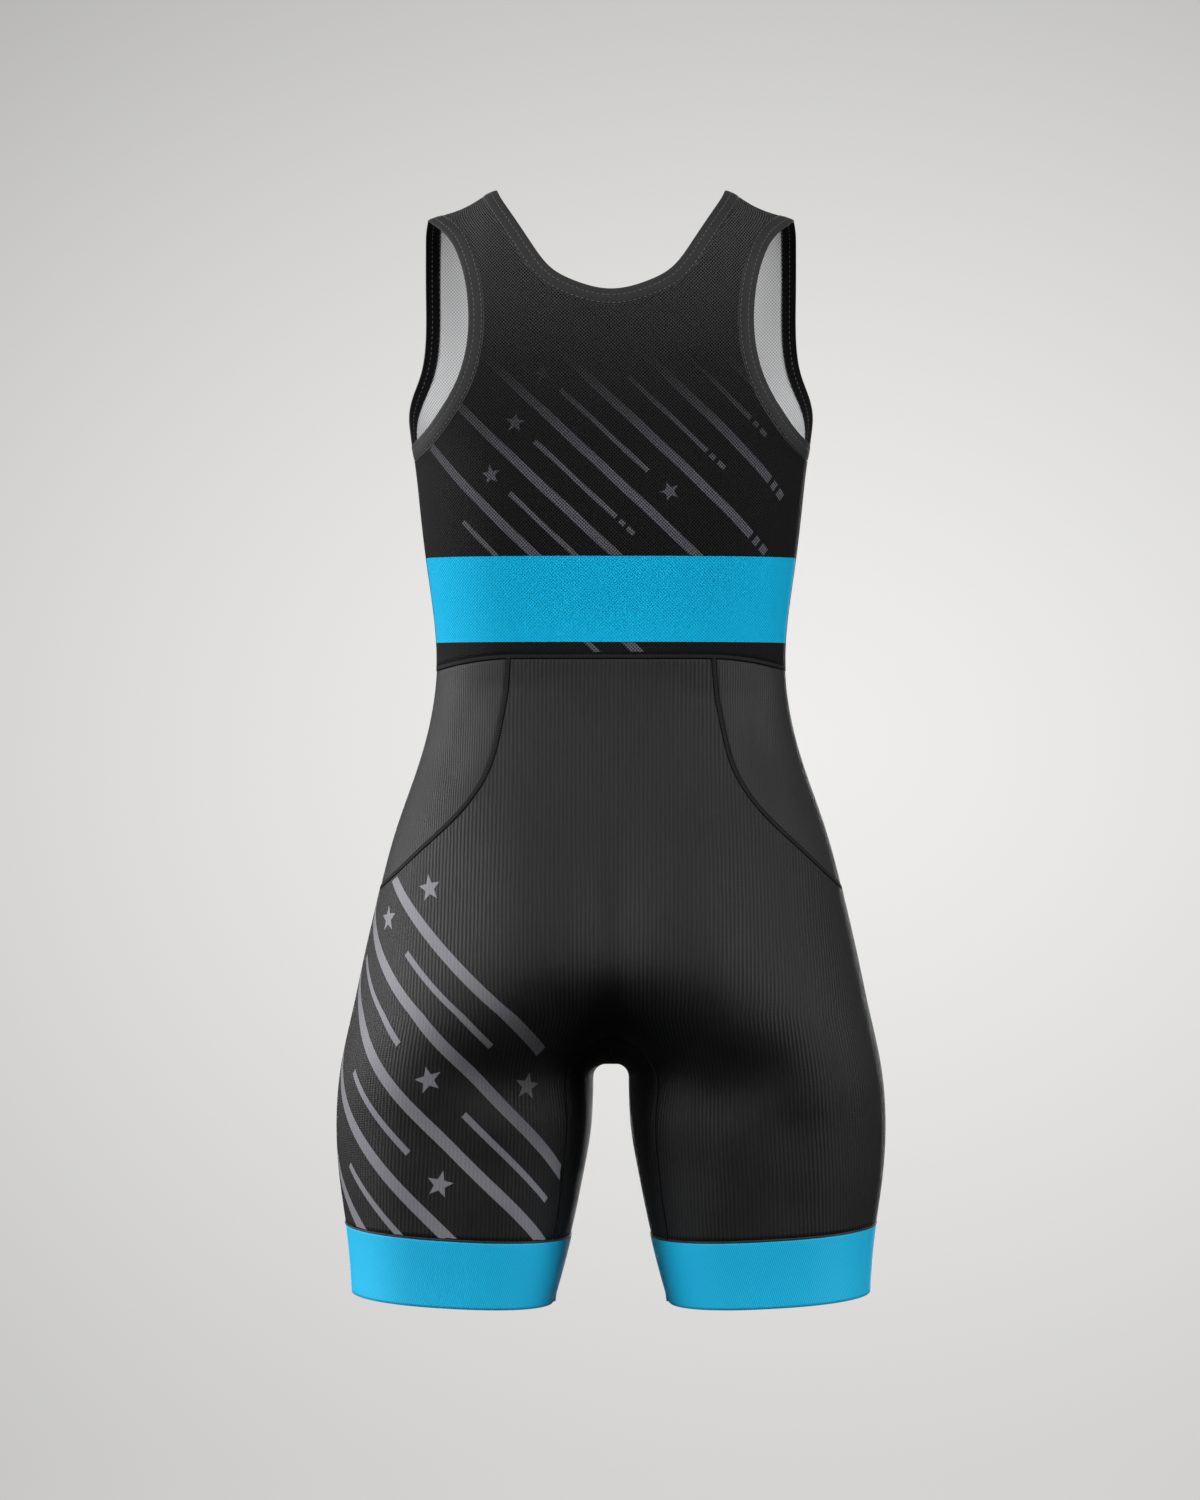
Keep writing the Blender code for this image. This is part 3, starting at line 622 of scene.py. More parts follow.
finishes = {
    "mesh": meshKnit("polyesterPinDotMesh"), "reverse": meshReverse(),
    "meshPrint": meshKnit("sublimatedGreyOnMesh", printed=True),
    "knit": compressionKnit("nylonCompressionKnit", "#171717", knit["walePitch"], 0.85),
    "hipKnit": compressionKnit("nylonHipKnit", "#1e1e1e", knit["hipPitch"], 0.5),
    "knitReverse": compressionKnit("nylonKnitReverse", "#0b0b0c", knit["walePitch"], 0.4),
    "legPrint": compressionKnit("sublimatedGreyOnKnit", knit["legPrint"], knit["walePitch"], 0.2),
    "binding": bindingKnit("ribbedPolyesterBinding", "#232323", 0.2),
    # painted shade: the binding's faces turned towards the body get a near-black material
    "bindingShadedInside": bindingKnit("bindingInnerFoldPaintedShade", "#050505", 0.05),
    "elastic": legElastic(), "seam": seamThread(),
    # The thread is dark grey; its colour is painted lighter, a painted sheen along each stitch.
    "topstitch": plainThread("topstitchThreadWithPaintedSheen", "#525255"),
    "edgeThread": plainThread("blackEdgeThread", "#0b0b0c"),
}
print("materials made:", len(finishes))


def addObject(name, data):
    made = bpy.data.objects.new(name, data)
    bpy.context.scene.collection.objects.link(made)
    return made


def newPiece(name, points, faces, uv, looks, slotName, replaces=()):
    mesh = bpy.data.meshes.new(name)
    mesh.from_pydata(points.reshape(-1, 3).tolist(), [], faces)
    layer = mesh.uv_layers.new(name="cloth")
    corners = np.empty(len(mesh.loops), np.int32)
    mesh.loops.foreach_get("vertex_index", corners)
    layer.data.foreach_set("uv", uv.reshape(-1, 2)[corners].astype(np.float32).ravel())
    for look in looks:
        mesh.materials.append(finishes[look])
    mesh.shade_smooth()
    piece = addObject(name, mesh)
    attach(piece, "root")
    if replaces:
        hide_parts(*replaces)
    return piece


def quads(number):
    corners = (number[:-1, :-1], number[:-1, 1:], number[1:, 1:], number[1:, :-1])
    return np.stack(corners, axis=-1).reshape(-1, 4)


def gridCells(grid):
    return quads(np.arange(grid[..., 0].size).reshape(grid.shape[:2]))


def facesOut(points, faces):
    # True if the faces' normals agree with the form's.
    corner = points.reshape(-1, 3)[faces]
    normal = np.cross(corner[:, 2] - corner[:, 0], corner[:, 3] - corner[:, 1])
    return (normal * outwards(corner.mean(axis=1))).sum() > 0


def reworked(piece, work):
    # Passes the piece's mesh through one bmesh operation.
    shape = bmesh.new()
    shape.from_mesh(piece.data)
    work(shape)
    shape.to_mesh(piece.data)
    shape.free()
    piece.data.shade_smooth()


def gathered(grids, height=0.0):
    # Grids on the form as one mesh that faces outwards: points moved along the normal by the crease
    # there and by the height, faces, and places on the cloth.
    points, faces, uv, count = [], [], [], 0
    for grid in grids:
        cells = gridCells(grid)
        cells = cells if facesOut(grid, cells) else cells[:, ::-1]
        points.append(placed(grid, height).reshape(-1, 3))
        uv.append(clothPlaces(grid).reshape(-1, 2))
        faces += (cells + count).tolist()
        count += grid[..., 0].size
    return np.vstack(points), faces, np.vstack(uv)


wallThickness = {"mesh_knit": 0.8 * mm, "compression_knit": 0.9 * mm}
mergeWithin = 0.005 * mm     # the two halves of a panel share the points of the middle line


def clothPanel(name, halves, looks, slotName, replaces):
    piece = newPiece(name, *gathered(halves), looks, slotName, replaces)
    reworked(piece, lambda shape: bmesh.ops.remove_doubles(shape, verts=shape.verts, dist=mergeWithin))
    wall = piece.modifiers.new("wall", "SOLIDIFY")
    wall.thickness, wall.offset, wall.material_offset = wallThickness[slotName], -1, len(looks) - 1
    return piece


def carried(name, rings, closed, uv, looks, slotName, replaces=()):
    # A closed profile carried along a line: rings is profile points x line points. The profile
    # joins its own end; the line joins its own end too, or each end is closed by one face.
    count, length = rings.shape[:2]
    number = np.arange(count * length).reshape(count, length)
    number = np.vstack([number, number[:1]])
    wrapped = np.hstack([number, number[:, :1]]) if closed else number
    faces = quads(wrapped).tolist()
    if not closed:
        faces += [number[:-1, 0].tolist(), number[:-1, -1][::-1].tolist()]
    piece = newPiece(name, rings, faces, uv, looks, slotName, replaces)
    reworked(piece, lambda shape: bmesh.ops.recalc_face_normals(shape, faces=shape.faces))
    return piece


seams = {
    # x, z in metres, on the right half, from the middle outwards or downwards
    "neckBack": ((0.000, -0.068), (0.027, -0.062), (0.0435, -0.053), (0.058, -0.035), (0.069, -0.018),
                 (0.0775, -0.005), (0.0825, 0.0035), (0.085, 0.0095)),
    "neckFront": ((0.000, -0.112), (0.030, -0.107), (0.052, -0.092), (0.067, -0.065), (0.075, -0.038),
                  (0.081, -0.014), (0.0838, 0.001), (0.085, 0.0095)),
    "armholeBack": ((0.1365, -0.0128), (0.1325, -0.0165), (0.124, -0.024), (0.1113, -0.0474),
                    (0.1055, -0.078), (0.106, -0.106), (0.117, -0.141), (0.1275, -0.158),
                    (0.141, -0.1745), (0.1483, -0.1805)),
    "armholeFront": ((0.1365, -0.0128), (0.1375, -0.0165), (0.1387, -0.030), (0.139, -0.065),
                     (0.1393, -0.100), (0.1432, -0.126), (0.1492, -0.144), (0.1512, -0.157),
                     (0.1500, -0.170), (0.1483, -0.1805)),
    "hip": ((0.0755, -0.338), (0.078, -0.367), (0.0815, -0.387), (0.0902, -0.420), (0.1036, -0.443),
            (0.1172, -0.4586), (0.137, -0.477), (0.160, -0.4985), (0.1715, -0.509)),
    "inseam": ((0.000, -0.6262), (0.0169, -0.6344), (0.0243, -0.6418), (0.0285, -0.656), (0.0309, -0.6825),
               (0.0353, -0.7257), (0.039, -0.7537), (0.0425, -0.775)),
    "waist": -0.338, "waistDrop": 0.0085, "waistLevelHalf": 0.070,
    "hem": -0.8195, "hemRiseOut": 0.055, "hemRiseFront": 0.055,
    "bindingWidth": 11.5 * mm, "legBandWidth": 50.8 * mm,
}
# how many steps each piece is made of
steps = {"body": 60, "neck": 54, "underarm": 27, "across": 44, "seat": 72, "leg": 44, "hip": 34,
         "hipTurn": 22, "panel": 54, "gusset": 26, "band": 240}
steps["armhole"] = steps["body"] + steps["neck"] - steps["underarm"]
crotchCrowding = 1.35        # over 1: the inner leg's steps are closer together at the crotch
legRay = {"reach": 0.2, "halvings": 36}   # for finding the form from the middle of a leg
sideX = halfWidthAt(seams["waist"] - seams["waistDrop"])


def waistLine(side, start, end):
    # Level near the middle, then falling with the square of the distance: x = side * sin(swing).
    swing = np.linspace(np.arcsin(start / sideX), np.arcsin(end / sideX), linePoints)
    x = sideX * np.sin(swing)
    out = np.maximum(x - seams["waistLevelHalf"], 0) / (sideX - seams["waistLevelHalf"])
    return lift(x, seams["waist"] - seams["waistDrop"] * out ** 2, side)


def sideLine(low, high):
    z = np.linspace(low, high, linePoints)
    return np.stack([halfWidthAt(z), np.zeros(linePoints), z], axis=-1)


def ridgeLine(start, end):
    x = np.linspace(start, end, linePoints)
    return np.stack([x, np.zeros(linePoints), ridgeAt(x)], axis=-1)


def middleLine(high, low, side):
    return lift(np.zeros(linePoints), np.linspace(high, low, linePoints), side)


def overHem(points):
    return points[..., 2] - (seams["hem"] + seams["hemRiseOut"] * np.abs(points[..., 0])
                             + seams["hemRiseFront"] * points[..., 1])


def cutAtBand(line):
    over = overHem(line) - seams["legBandWidth"]
    last = np.argmax(over < 0)
    share = over[last - 1] / (over[last - 1] - over[last])
    return np.vstack([line[:last], line[last - 1] + share * (line[last] - line[last - 1])])


def legRing(rise, angles):
    # Points round the right leg in a plane parallel to the hem, found by halving along each ray.
    centre = (halfWidthAt(seams["hem"] + rise) + gapAt(seams["hem"] + rise)) / 2
    cosine, sine = np.cos(angles), np.sin(angles)
    near = np.zeros(len(angles))
    far = np.where(cosine < 0, centre / np.maximum(-cosine, centre / legRay["reach"]), legRay["reach"])
    for _ in range(legRay["halvings"]):
        reach = (near + far) / 2
        points = np.stack([centre + cosine * reach, sine * reach, np.zeros(len(angles))], axis=-1)
        points[:, 2] = rise - overHem(points)
        outside = steepness(points)[0] > 0
        near, far = np.where(outside, near, reach), np.where(outside, reach, far)
    return points


def bandLine(start, end):
    height = seams["hem"] + seams["legBandWidth"]
    centre = (halfWidthAt(height) + gapAt(height)) / 2
    first, last = (np.arctan2(point[1], point[0] - centre) for point in (start, end))
    if abs(last - first) > np.pi:
        last += 2 * np.pi * np.sign(first - last)
    line = legRing(seams["legBandWidth"], np.linspace(first, last, linePoints))
    line[0], line[-1] = start, end
    return line


def across(line, closed):
    # Directions on the form, to the right of a line on it: tangent x normal.
    along = (np.roll(line, -1, axis=0) - np.roll(line, 1, axis=0)) if closed else np.gradient(line, axis=0)
    return unit(np.cross(along, outwards(line)))


def openingAt(quarters):
    # A closed edge, as a function of the distance from it into the panels.
    edge = np.vstack([line[:-1] for line in quarters])
    towards = across(edge, True)

    def at(distance):
        points = edge + towards * distance
        for k in (0, 1):
            points[np.abs(edge[:, k]) < onPlane, k] = 0
        return drape(points)

    return at


def quarterOf(seam, side, count, flat):
    # A line that starts at the body's middle (x = 0) is smooth there.
    line = evenly(lift(*markedLine(seams[seam], seams[seam][0][0] == 0), side), count)
    line[flat, 1] = 0
    return line


neckBack = quarterOf("neckBack", back, steps["neck"], [-1])
neckFront = quarterOf("neckFront", front, steps["neck"], [-1])
neckAt = openingAt([neckBack, neckFront[::-1], flipped(neckFront), flipped(neckBack)[::-1]])
armBack = quarterOf("armholeBack", back, steps["armhole"], [0, -1])
armFront = quarterOf("armholeFront", front, steps["armhole"], [0, -1])
armholeAt = openingAt([armBack, armFront[::-1]])
neckSeam, armSeam = neckAt(seams["bindingWidth"]), armholeAt(seams["bindingWidth"])
neckSeams = {back: neckSeam[:steps["neck"] + 1], front: neckSeam[steps["neck"]:2 * steps["neck"] + 1][::-1]}
armSeams = {back: armSeam[:steps["armhole"] + 1][::-1],
            front: np.vstack([armSeam[steps["armhole"]:], armSeam[:1]])}
openings = (("neck", "", neckAt, asIs), *(("armhole", hand, armholeAt, turn) for hand, turn in hands))
print("openings laid out:", len(openings))


def hipSeam(side):
    line = lift(*markedLine(seams["hip"]), side)
    low = seams["hip"][-1][1]
    line[-1] = halfWidthAt(low), 0, low
    return evenly(line, steps["hip"] + steps["hipTurn"])


def inseam(side):
    return evenly(cutAtBand(lift(*markedLine(seams["inseam"], True), side)), steps["leg"], crotchCrowding)


def upperHalf(side):
    waist = evenly(waistLine(side, 0, sideX), steps["across"])
    waist[-1, 1] = 0
    middle = evenly(middleLine(seams["waist"], neckSeams[side][0, 2], side), steps["body"])
    flank = evenly(sideLine(waist[-1, 2], armSeams[side][0, 2]), steps["underarm"])
    ridge = evenly(ridgeLine(neckSeams[side][-1, 0], armSeams[side][-1, 0]), steps["across"])
    return patch(joined(middle, neckSeams[side]), joined(flank, armSeams[side]), waist, ridge)


def lowerHalf(side):
    seam, inner = hipSeam(side), inseam(side)
    waist = evenly(waistLine(side, 0, seam[0, 0]), steps["panel"])
    middle = evenly(middleLine(seams["waist"], inner[0, 2], side), steps["seat"])
    flank = cutAtBand(sideLine(seam[-1, 2], seams["hem"]))
    flank = evenly(flank, steps["seat"] + steps["leg"] - len(seam) + 1)
    band = evenly(bandLine(inner[-1], flank[-1]), steps["panel"])
    return patch(joined(middle, inner), joined(seam, flank), waist, band)


def hipHalf():
    backSeam, frontSeam, turn = hipSeam(back), hipSeam(front), steps["hip"]
    start = seams["hip"][0][0]
    waist = joined(evenly(waistLine(back, start, sideX), steps["hipTurn"]),
                   evenly(waistLine(front, start, sideX), steps["hipTurn"])[::-1])
    waist[steps["hipTurn"], 1] = 0
    return patch(backSeam[:turn + 1], frontSeam[:turn + 1], waist,
                 joined(backSeam[turn:], frontSeam[turn:][::-1]))


def innerLegHalf():
    backSeam, frontSeam = inseam(back), inseam(front)
    share = np.linspace(0, 1, linePoints)[:, None]
    crotch = evenly(drape(backSeam[0] + share * (frontSeam[0] - backSeam[0])), steps["gusset"])
    crotch[:, 0] = 0
    band = evenly(bandLine(backSeam[-1], frontSeam[-1]), steps["gusset"])
    grid = patch(crotch, band, backSeam, frontSeam)
    grid[:, 0, 0] = 0
    return grid


hipGrid = hipHalf()
mesh, body, hips = ("mesh", "reverse"), ("knit", "knitReverse"), ("hipKnit", "knitReverse")
for name, halves, looks, slotName, node in (
        ("upperBackPanel", bothSides(upperHalf(back)), mesh, "mesh_knit", "upper_back"),
        ("upperFrontPanel", bothSides(upperHalf(front)), mesh, "mesh_knit", "upper_front"),
        ("seatPanel", bothSides(lowerHalf(back)), body, "compression_knit", "seat_panel"),
        ("lowerFrontPanel", bothSides(lowerHalf(front)), body, "compression_knit", "lower_front"),
        ("innerLegPanel", bothSides(innerLegHalf()), body, "compression_knit", "inner_leg_panel"),
        ("hipPanelRight", (hipGrid,), hips, "compression_knit", "hip_panel_right"),
        ("hipPanelLeft", (flipped(hipGrid),), hips, "compression_knit", "hip_panel_left")):
    clothPanel(name, halves, looks, slotName, (node,))


binding = {
    "thickness": 2.2 * mm, "proud": 0.6 * mm, "around": 26,
    "powers": (6, 5),                # p and q of its section, across the strip and through it
    "flatFrom": 0.3, "flatShare": 0.93,   # the faces: where the sine is over this, and their share of w
    "rows": (4.7 * mm, 10.6 * mm),   # the two rows of topstitch, from the fold
    "groove": 0.16 * mm, "grooveWidth": 0.8 * mm,
}


def signedPower(value, power):
    return np.sign(value) * np.abs(value) ** power


def bindingProfile():
    # A flat bar with round edges: a = w/2 * (1 + cos^(2/p)) and h = t/2 * sin^(2/q), where each power
    # keeps the sign. Over the even faces a = w/2 * (1 + share * cos / cos(arcsin(flatFrom))) instead.
    # Each row of stitches presses a small groove into both faces.
    angle = np.linspace(0, 2 * np.pi, binding["around"], endpoint=False) + np.pi / binding["around"]
    width, thick = seams["bindingWidth"], binding["thickness"]
    cosine, sine = np.cos(angle), np.sin(angle)
    even = cosine / np.cos(np.arcsin(binding["flatFrom"])) * binding["flatShare"]
    rounded = signedPower(cosine, 2 / binding["powers"][0])
    a = width / 2 * (1 + np.where(np.abs(sine) > binding["flatFrom"], even, rounded))
    h = thick / 2 * signedPower(sine, 2 / binding["powers"][1])
    grooves = sum(np.exp(-((a - row) / binding["grooveWidth"]) ** 2) for row in binding["rows"])
    h = h - np.sign(h) * np.minimum(binding["groove"] * grooves, np.abs(h))
    return a, h + binding["proud"] - thick / 2


def bindingStrip(name, at, turn, node):
    places, rises = bindingProfile()
    edge = at(0.0)
    rings = np.stack([placed(turn(at(a)), h) for a, h in zip(places, rises)])
    uv = np.stack(np.broadcast_arrays(running(edge)[None], places[:, None]), axis=-1)
    strip = carried(name, rings, True, uv, ("binding", "bindingShadedInside"), "binding", (node,))
    # The faces turned towards the body take the second, darker material: painted shade on the binding's inner
    # face.
    inner = rises < rises.mean()
    inside = np.repeat(inner & np.roll(inner, -1), len(edge)).astype(np.int32)
    strip.data.polygons.foreach_set("material_index", inside)
    return strip


for place, hand, at, turn in openings:
    node = place + "_binding" + ("_" + hand.lower() if hand else "")
    bindingStrip(place + "Binding" + hand, at, turn, node)


legBand = {
    "proud": 0.6 * mm, "thickness": 1.6 * mm, "around": 30,
    "flatness": 1.12, "powers": (0.9, 0.35),             # p and q, up the leg and through the tape
    "seamRidge": 0.5 * mm, "seamRidgeWidth": 2.4 * mm,   # where the tape's ends are sewn, inside the leg
    "tack": 1.1 * mm, "tackReach": 3.5 * mm,             # the seam's closing stitches, lumpy at the hem
}


def legBandTube(name, turn, node):
    # A flat bar with round edges carried round the leg: rise = w/2 * (1 - c^p), where c is the cosine
    # times the flatness, kept within 1, and h = t/2 * sin^q; each power keeps the sign. A low ridge
    # runs along the tape's own seam at the inside of the leg, on both faces.
    width, thick = seams["legBandWidth"], legBand["thickness"]
    angle = np.linspace(0, 2 * np.pi, legBand["around"], endpoint=False)
    flat = np.clip(np.cos(angle) * legBand["flatness"], -1, 1)
    rises = width / 2 * (1 - signedPower(flat, legBand["powers"][0]))
    h = thick / 2 * signedPower(np.sin(angle), legBand["powers"][1]) + legBand["proud"] - thick / 2
    turnAngles = np.linspace(0, 2 * np.pi, linePoints) + np.pi
    rings, places = [], []
    for rise, height in zip(rises, h):
        ring = evenly(legRing(rise, turnAngles), steps["band"])[:-1]
        run = sharesAlong(np.vstack([ring, ring[:1]]))[:-1] * lengthOf(ring)
        fromSeam = np.minimum(run, run[-1] - run)
        ridge = legBand["seamRidge"] + legBand["tack"] * np.exp(-(rise / legBand["tackReach"]) ** 2)
        lump = ridge * np.exp(-(fromSeam / legBand["seamRidgeWidth"]) ** 2)
        outer = height > legBand["proud"] - thick / 2
        rings.append(placed(turn(ring), height + (lump if outer else -lump)))
        places.append(np.stack([run, np.full_like(run, rise)], axis=-1))
    return carried(name, np.stack(rings), True, np.stack(places), ("elastic",), "leg_elastic", (node,))


legBands = {"legBand" + hand: legBandTube("legBand" + hand, turn, "leg_band_" + hand.lower())
            for hand, turn in hands}
print("leg bands closed:", len(legBands))


flatlock = {
    "width": 4.5 * mm, "rise": 0.45 * mm, "sunk": 0.25 * mm, "edgeDip": 0.05 * mm,
    "profile": 12, "step": 1.6 * mm,
    "narrowWidth": 3.6 * mm,                        # at the sides and shoulders above the waist
    "edgeWidth": 1.7 * mm, "edgeRise": 0.9 * mm,    # the dark cord where the panels meet the leg bands
    "joinWidth": 1.1 * mm, "joinRise": 0.15 * mm,   # the dark line where they meet the bindings
}


def seamStrip(name, line, closed=False, width=flatlock["width"], rise=flatlock["rise"], look="seam"):
    # Profile: a from -w/2 to w/2 over the top with h = rise * (1 - |2a/w|^4), and back below the cloth.
    line = evenly(line, int(lengthOf(line) / flatlock["step"]))
    if closed:
        line = line[:-1]
    half = flatlock["profile"] // 2
    over = np.linspace(-1, 1, half + 1)
    a = np.concatenate([over, over[::-1][1:-1]]) * width / 2
    top = rise * (1 - np.abs(over) ** 4) - flatlock["edgeDip"]
    h = np.concatenate([top, np.full(half - 1, -flatlock["sunk"])])
    direction = across(line, closed)
    rings = np.stack([placed(drape(line + direction * shift), height) for shift, height in zip(a, h)])
    uv = np.stack(np.broadcast_arrays(running(line)[None], a[:, None]), axis=-1)
    return carried(name, rings, closed, uv, (look,), "compression_knit")


def waistLoop():
    quarter = waistLine(back, 0, sideX)
    other = waistLine(front, 0, sideX)
    return joined(quarter, other[::-1], flipped(other), flipped(quarter)[::-1])


cord = (flatlock["edgeWidth"], flatlock["edgeRise"], "edgeThread")
join = (flatlock["joinWidth"], flatlock["joinRise"], "edgeThread")
seamPieces = [seamStrip("waistSeam", waistLoop(), True)]
for hand, turn in hands:
    for place, side in sides:
        seamPieces.append(seamStrip("hipSeam" + place + hand, turn(hipSeam(side))))
    lower = cutAtBand(sideLine(seams["hip"][-1][1], seams["hem"]))
    upper = sideLine(seams["waist"] - seams["waistDrop"], armSeams[back][0, 2])
    shoulder = ridgeLine(neckSeams[back][-1, 0], armSeams[back][-1, 0])
    ring = legRing(seams["legBandWidth"], np.linspace(0, 2 * np.pi, linePoints))
    seamPieces += [
        seamStrip("sideSeamLower" + hand, turn(lower)),
        seamStrip("sideSeamUpper" + hand, turn(upper), width=flatlock["narrowWidth"]),
        seamStrip("shoulderSeam" + hand, turn(shoulder), width=flatlock["narrowWidth"]),
        seamStrip("bandSeam" + hand, turn(ring), True, *cord)]
for place, side in sides:
    inner = inseam(side)
    seamPieces.append(seamStrip("inseam" + place, joined(flipped(inner)[::-1], inner)))
for place, hand, at, turn in openings:
    line = at(seams["bindingWidth"] + flatlock["joinWidth"] / 2)
    line = turn(np.vstack([line, line[:1]]))
    seamPieces.append(seamStrip(place + "Join" + hand, line, True, *join))
print("seams stitched:", len(seamPieces))


topstitch = {
    "pitch": 3.9 * mm, "length": 2.3 * mm, "width": 0.55 * mm, "height": 0.45 * mm,
    "sunk": 0.6,                     # share of the groove's depth by which the thread lies in it
    "stations": (-0.97, -0.72, 0, 0.72, 0.97), "around": 6,
}


def stitchRow(line, rise):
    # Each stitch: centre + tangent * L/2 * t + (across * cos * w/2 + normal * sin * h/2) * (1 - t^4)^0.5
    closed = np.vstack([line, line[:1]])
    count = int(lengthOf(closed) / topstitch["pitch"])
    loop = divided(closed, (np.arange(count) + 0.5) / count)
    normal = outwards(loop)
    along = unit(np.roll(loop, -1, axis=0) - np.roll(loop, 1, axis=0))
    sideways = np.cross(normal, along)
    middle = placed(loop, rise)
    middle, normal, along, sideways = (part[:, None, None] for part in (middle, normal, along, sideways))
    t = np.array(topstitch["stations"])[None, :, None, None]
    angle = np.linspace(0, 2 * np.pi, topstitch["around"], endpoint=False)[None, None, :, None]
    thread = (sideways * np.cos(angle) * topstitch["width"] / 2
              + normal * np.sin(angle) * topstitch["height"] / 2)
    return middle + along * topstitch["length"] / 2 * t + thread * np.sqrt(1 - t ** 4)


def stitchPiece(name, rows):
    stitches = np.concatenate(rows)
    count, rings, around = stitches.shape[:3]
    number = np.arange(rings * around).reshape(rings, around)
    cells = quads(np.hstack([number, number[:, :1]]))
    shift = (np.arange(count) * rings * around)[:, None, None]
    faces = (cells[None] + shift).reshape(-1, 4).tolist()
    caps = np.stack([number[0], number[-1][::-1]])
    faces += (caps[None] + shift).reshape(-1, around).tolist()
    uv = np.zeros((stitches[..., 0].size, 2))
    return newPiece(name, stitches, faces, uv, ("topstitch",), "binding")


def bindingStitches(name, at, turn):
    sunk = binding["groove"] * topstitch["sunk"]
    faces = (binding["proud"] - sunk, binding["proud"] - binding["thickness"] + sunk)
    return stitchPiece(name, [stitchRow(turn(at(row)), rise) for row in binding["rows"] for rise in faces])


stitches = {place + "Binding" + hand: bindingStitches(place + "Topstitch" + hand, at, turn)
            for place, hand, at, turn in openings}
print("topstitch rows:", len(stitches) * 4)


barPrint = {
    "slope": -43.0,          # degrees, falling to the right as seen from behind
    "proud": 0.14 * mm,
    "margin": 0.6 * mm, "sideRoom": 0.2 * mm, "armRoom": 0.3 * mm,   # kept free beside seams and edges
    "hipRoom": 1.3,          # times the room at other seams, because the hip seam slopes
    "dashes": ((3.6, 4.8), (11.4, 6.8)),   # start and length in mm, beyond a bar's end
    "starWaist": 0.42, "starTop": 90, "starCore": 0.02, "starRings": 5, "starSteps": 60,
    "samples": 260, "shortest": 6, "spare": 14, "step": 2.2 * mm, "across": 4,
    "highest": -0.04,
    # lanes: even ones are wide; start and end in mm along the lane; whether dashes follow
    "upper": {
        "zero": -0.205,      # height at which lane 0 crosses the middle
        "spacing": 20.4 * mm,   # between one wide bar and the thin one beside it
        "wide": 6.8 * mm, "thin": 3.7 * mm, "starSize": 7.6 * mm,
        "bars": (
            (-5, -60, 120, False), (-4, -120, 160, False), (-3, -46, 30, False), (-2, -160, 132, False),
            (-1, -58, 24, True), (0, -160, 118, True), (1, -70, 18, False), (2, -150, 108, True),
            (3, -40, 40, True), (4, -140, 92, True), (5, -30, 48, True), (6, -120, 84, True),
            (7, -10, 60, False)),
        "stars": ((-3, -66, 8), (-1, -78, -6), (1, -88, 14), (3, -62, 2), (5, -50, -10), (1, 40, 20)),
    },
    "leg": {
        "zero": -0.672, "spacing": 24.0 * mm, "wide": 8.8 * mm, "thin": 4.8 * mm, "starSize": 10.4 * mm,
        "bars": (
            (0, -300, -64, False), (-1, -196, -96, False), (-2, -300, 60, False), (-3, -242, -150, False),
            (-3, -74, 20, False), (-4, -300, 90, False), (-5, -170, -84, False), (-6, -300, 90, False),
            (-7, -120, 60, False), (-8, -300, 90, False)),
        "stars": ((1, -214, 10), (-1, -52, -8), (-1, -232, 6), (-3, -112, 16), (-5, -50, -12)),
    },
}
turnBy = np.radians(barPrint["slope"])
alongBar = np.array([np.cos(turnBy), np.sin(turnBy)])
acrossBar = np.array([-np.sin(turnBy), np.cos(turnBy)])
seamRoom = flatlock["width"] / 2 + barPrint["margin"]


def insideUpper(side):
    # Between the two armholes or side seams, and between the waist seam and the shoulders.
    edge, neck = armSeams[side], neckSeams[side]

    def inside(points):
        x, z = np.abs(points[..., 0]), points[..., 2]
        flank = halfWidthAt(z) - barPrint["sideRoom"]
        limit = np.where(z > edge[0, 2], np.interp(z, edge[:, 2], edge[:, 0]), flank) - barPrint["armRoom"]
        outOfBand = (z > knit["bandTop"]) | (z < knit["bandBottom"])
        underNeck = (z < neck[0, 2]) | (x > np.interp(z, neck[:, 2], neck[:, 0]))
        level = (z > seams["waist"] + seamRoom) & (z < barPrint["highest"])
        return (x < limit) & level & outOfBand & underNeck

    return inside


def insideLeftLeg(side):
    # Below the hip seam, outside the inner seam and above the leg band.
    hip, inner = hipSeam(side), inseam(side)

    def inside(points):
        x, z = -points[..., 0], points[..., 2]
        underHip = z < np.interp(x, hip[:, 0], hip[:, 2]) - seamRoom * barPrint["hipRoom"]
        offInner = x > np.interp(-z, -inner[:, 2], inner[:, 0]) + seamRoom
        overBand = overHem(points) > seams["legBandWidth"] + 2 * barPrint["margin"]
        return underHip & offInner & overBand & (x < halfWidthAt(z) - barPrint["sideRoom"])

    return inside


def laneStart(lane, layout):
    return lane * layout["spacing"] * acrossBar + np.array([0, layout["zero"]])


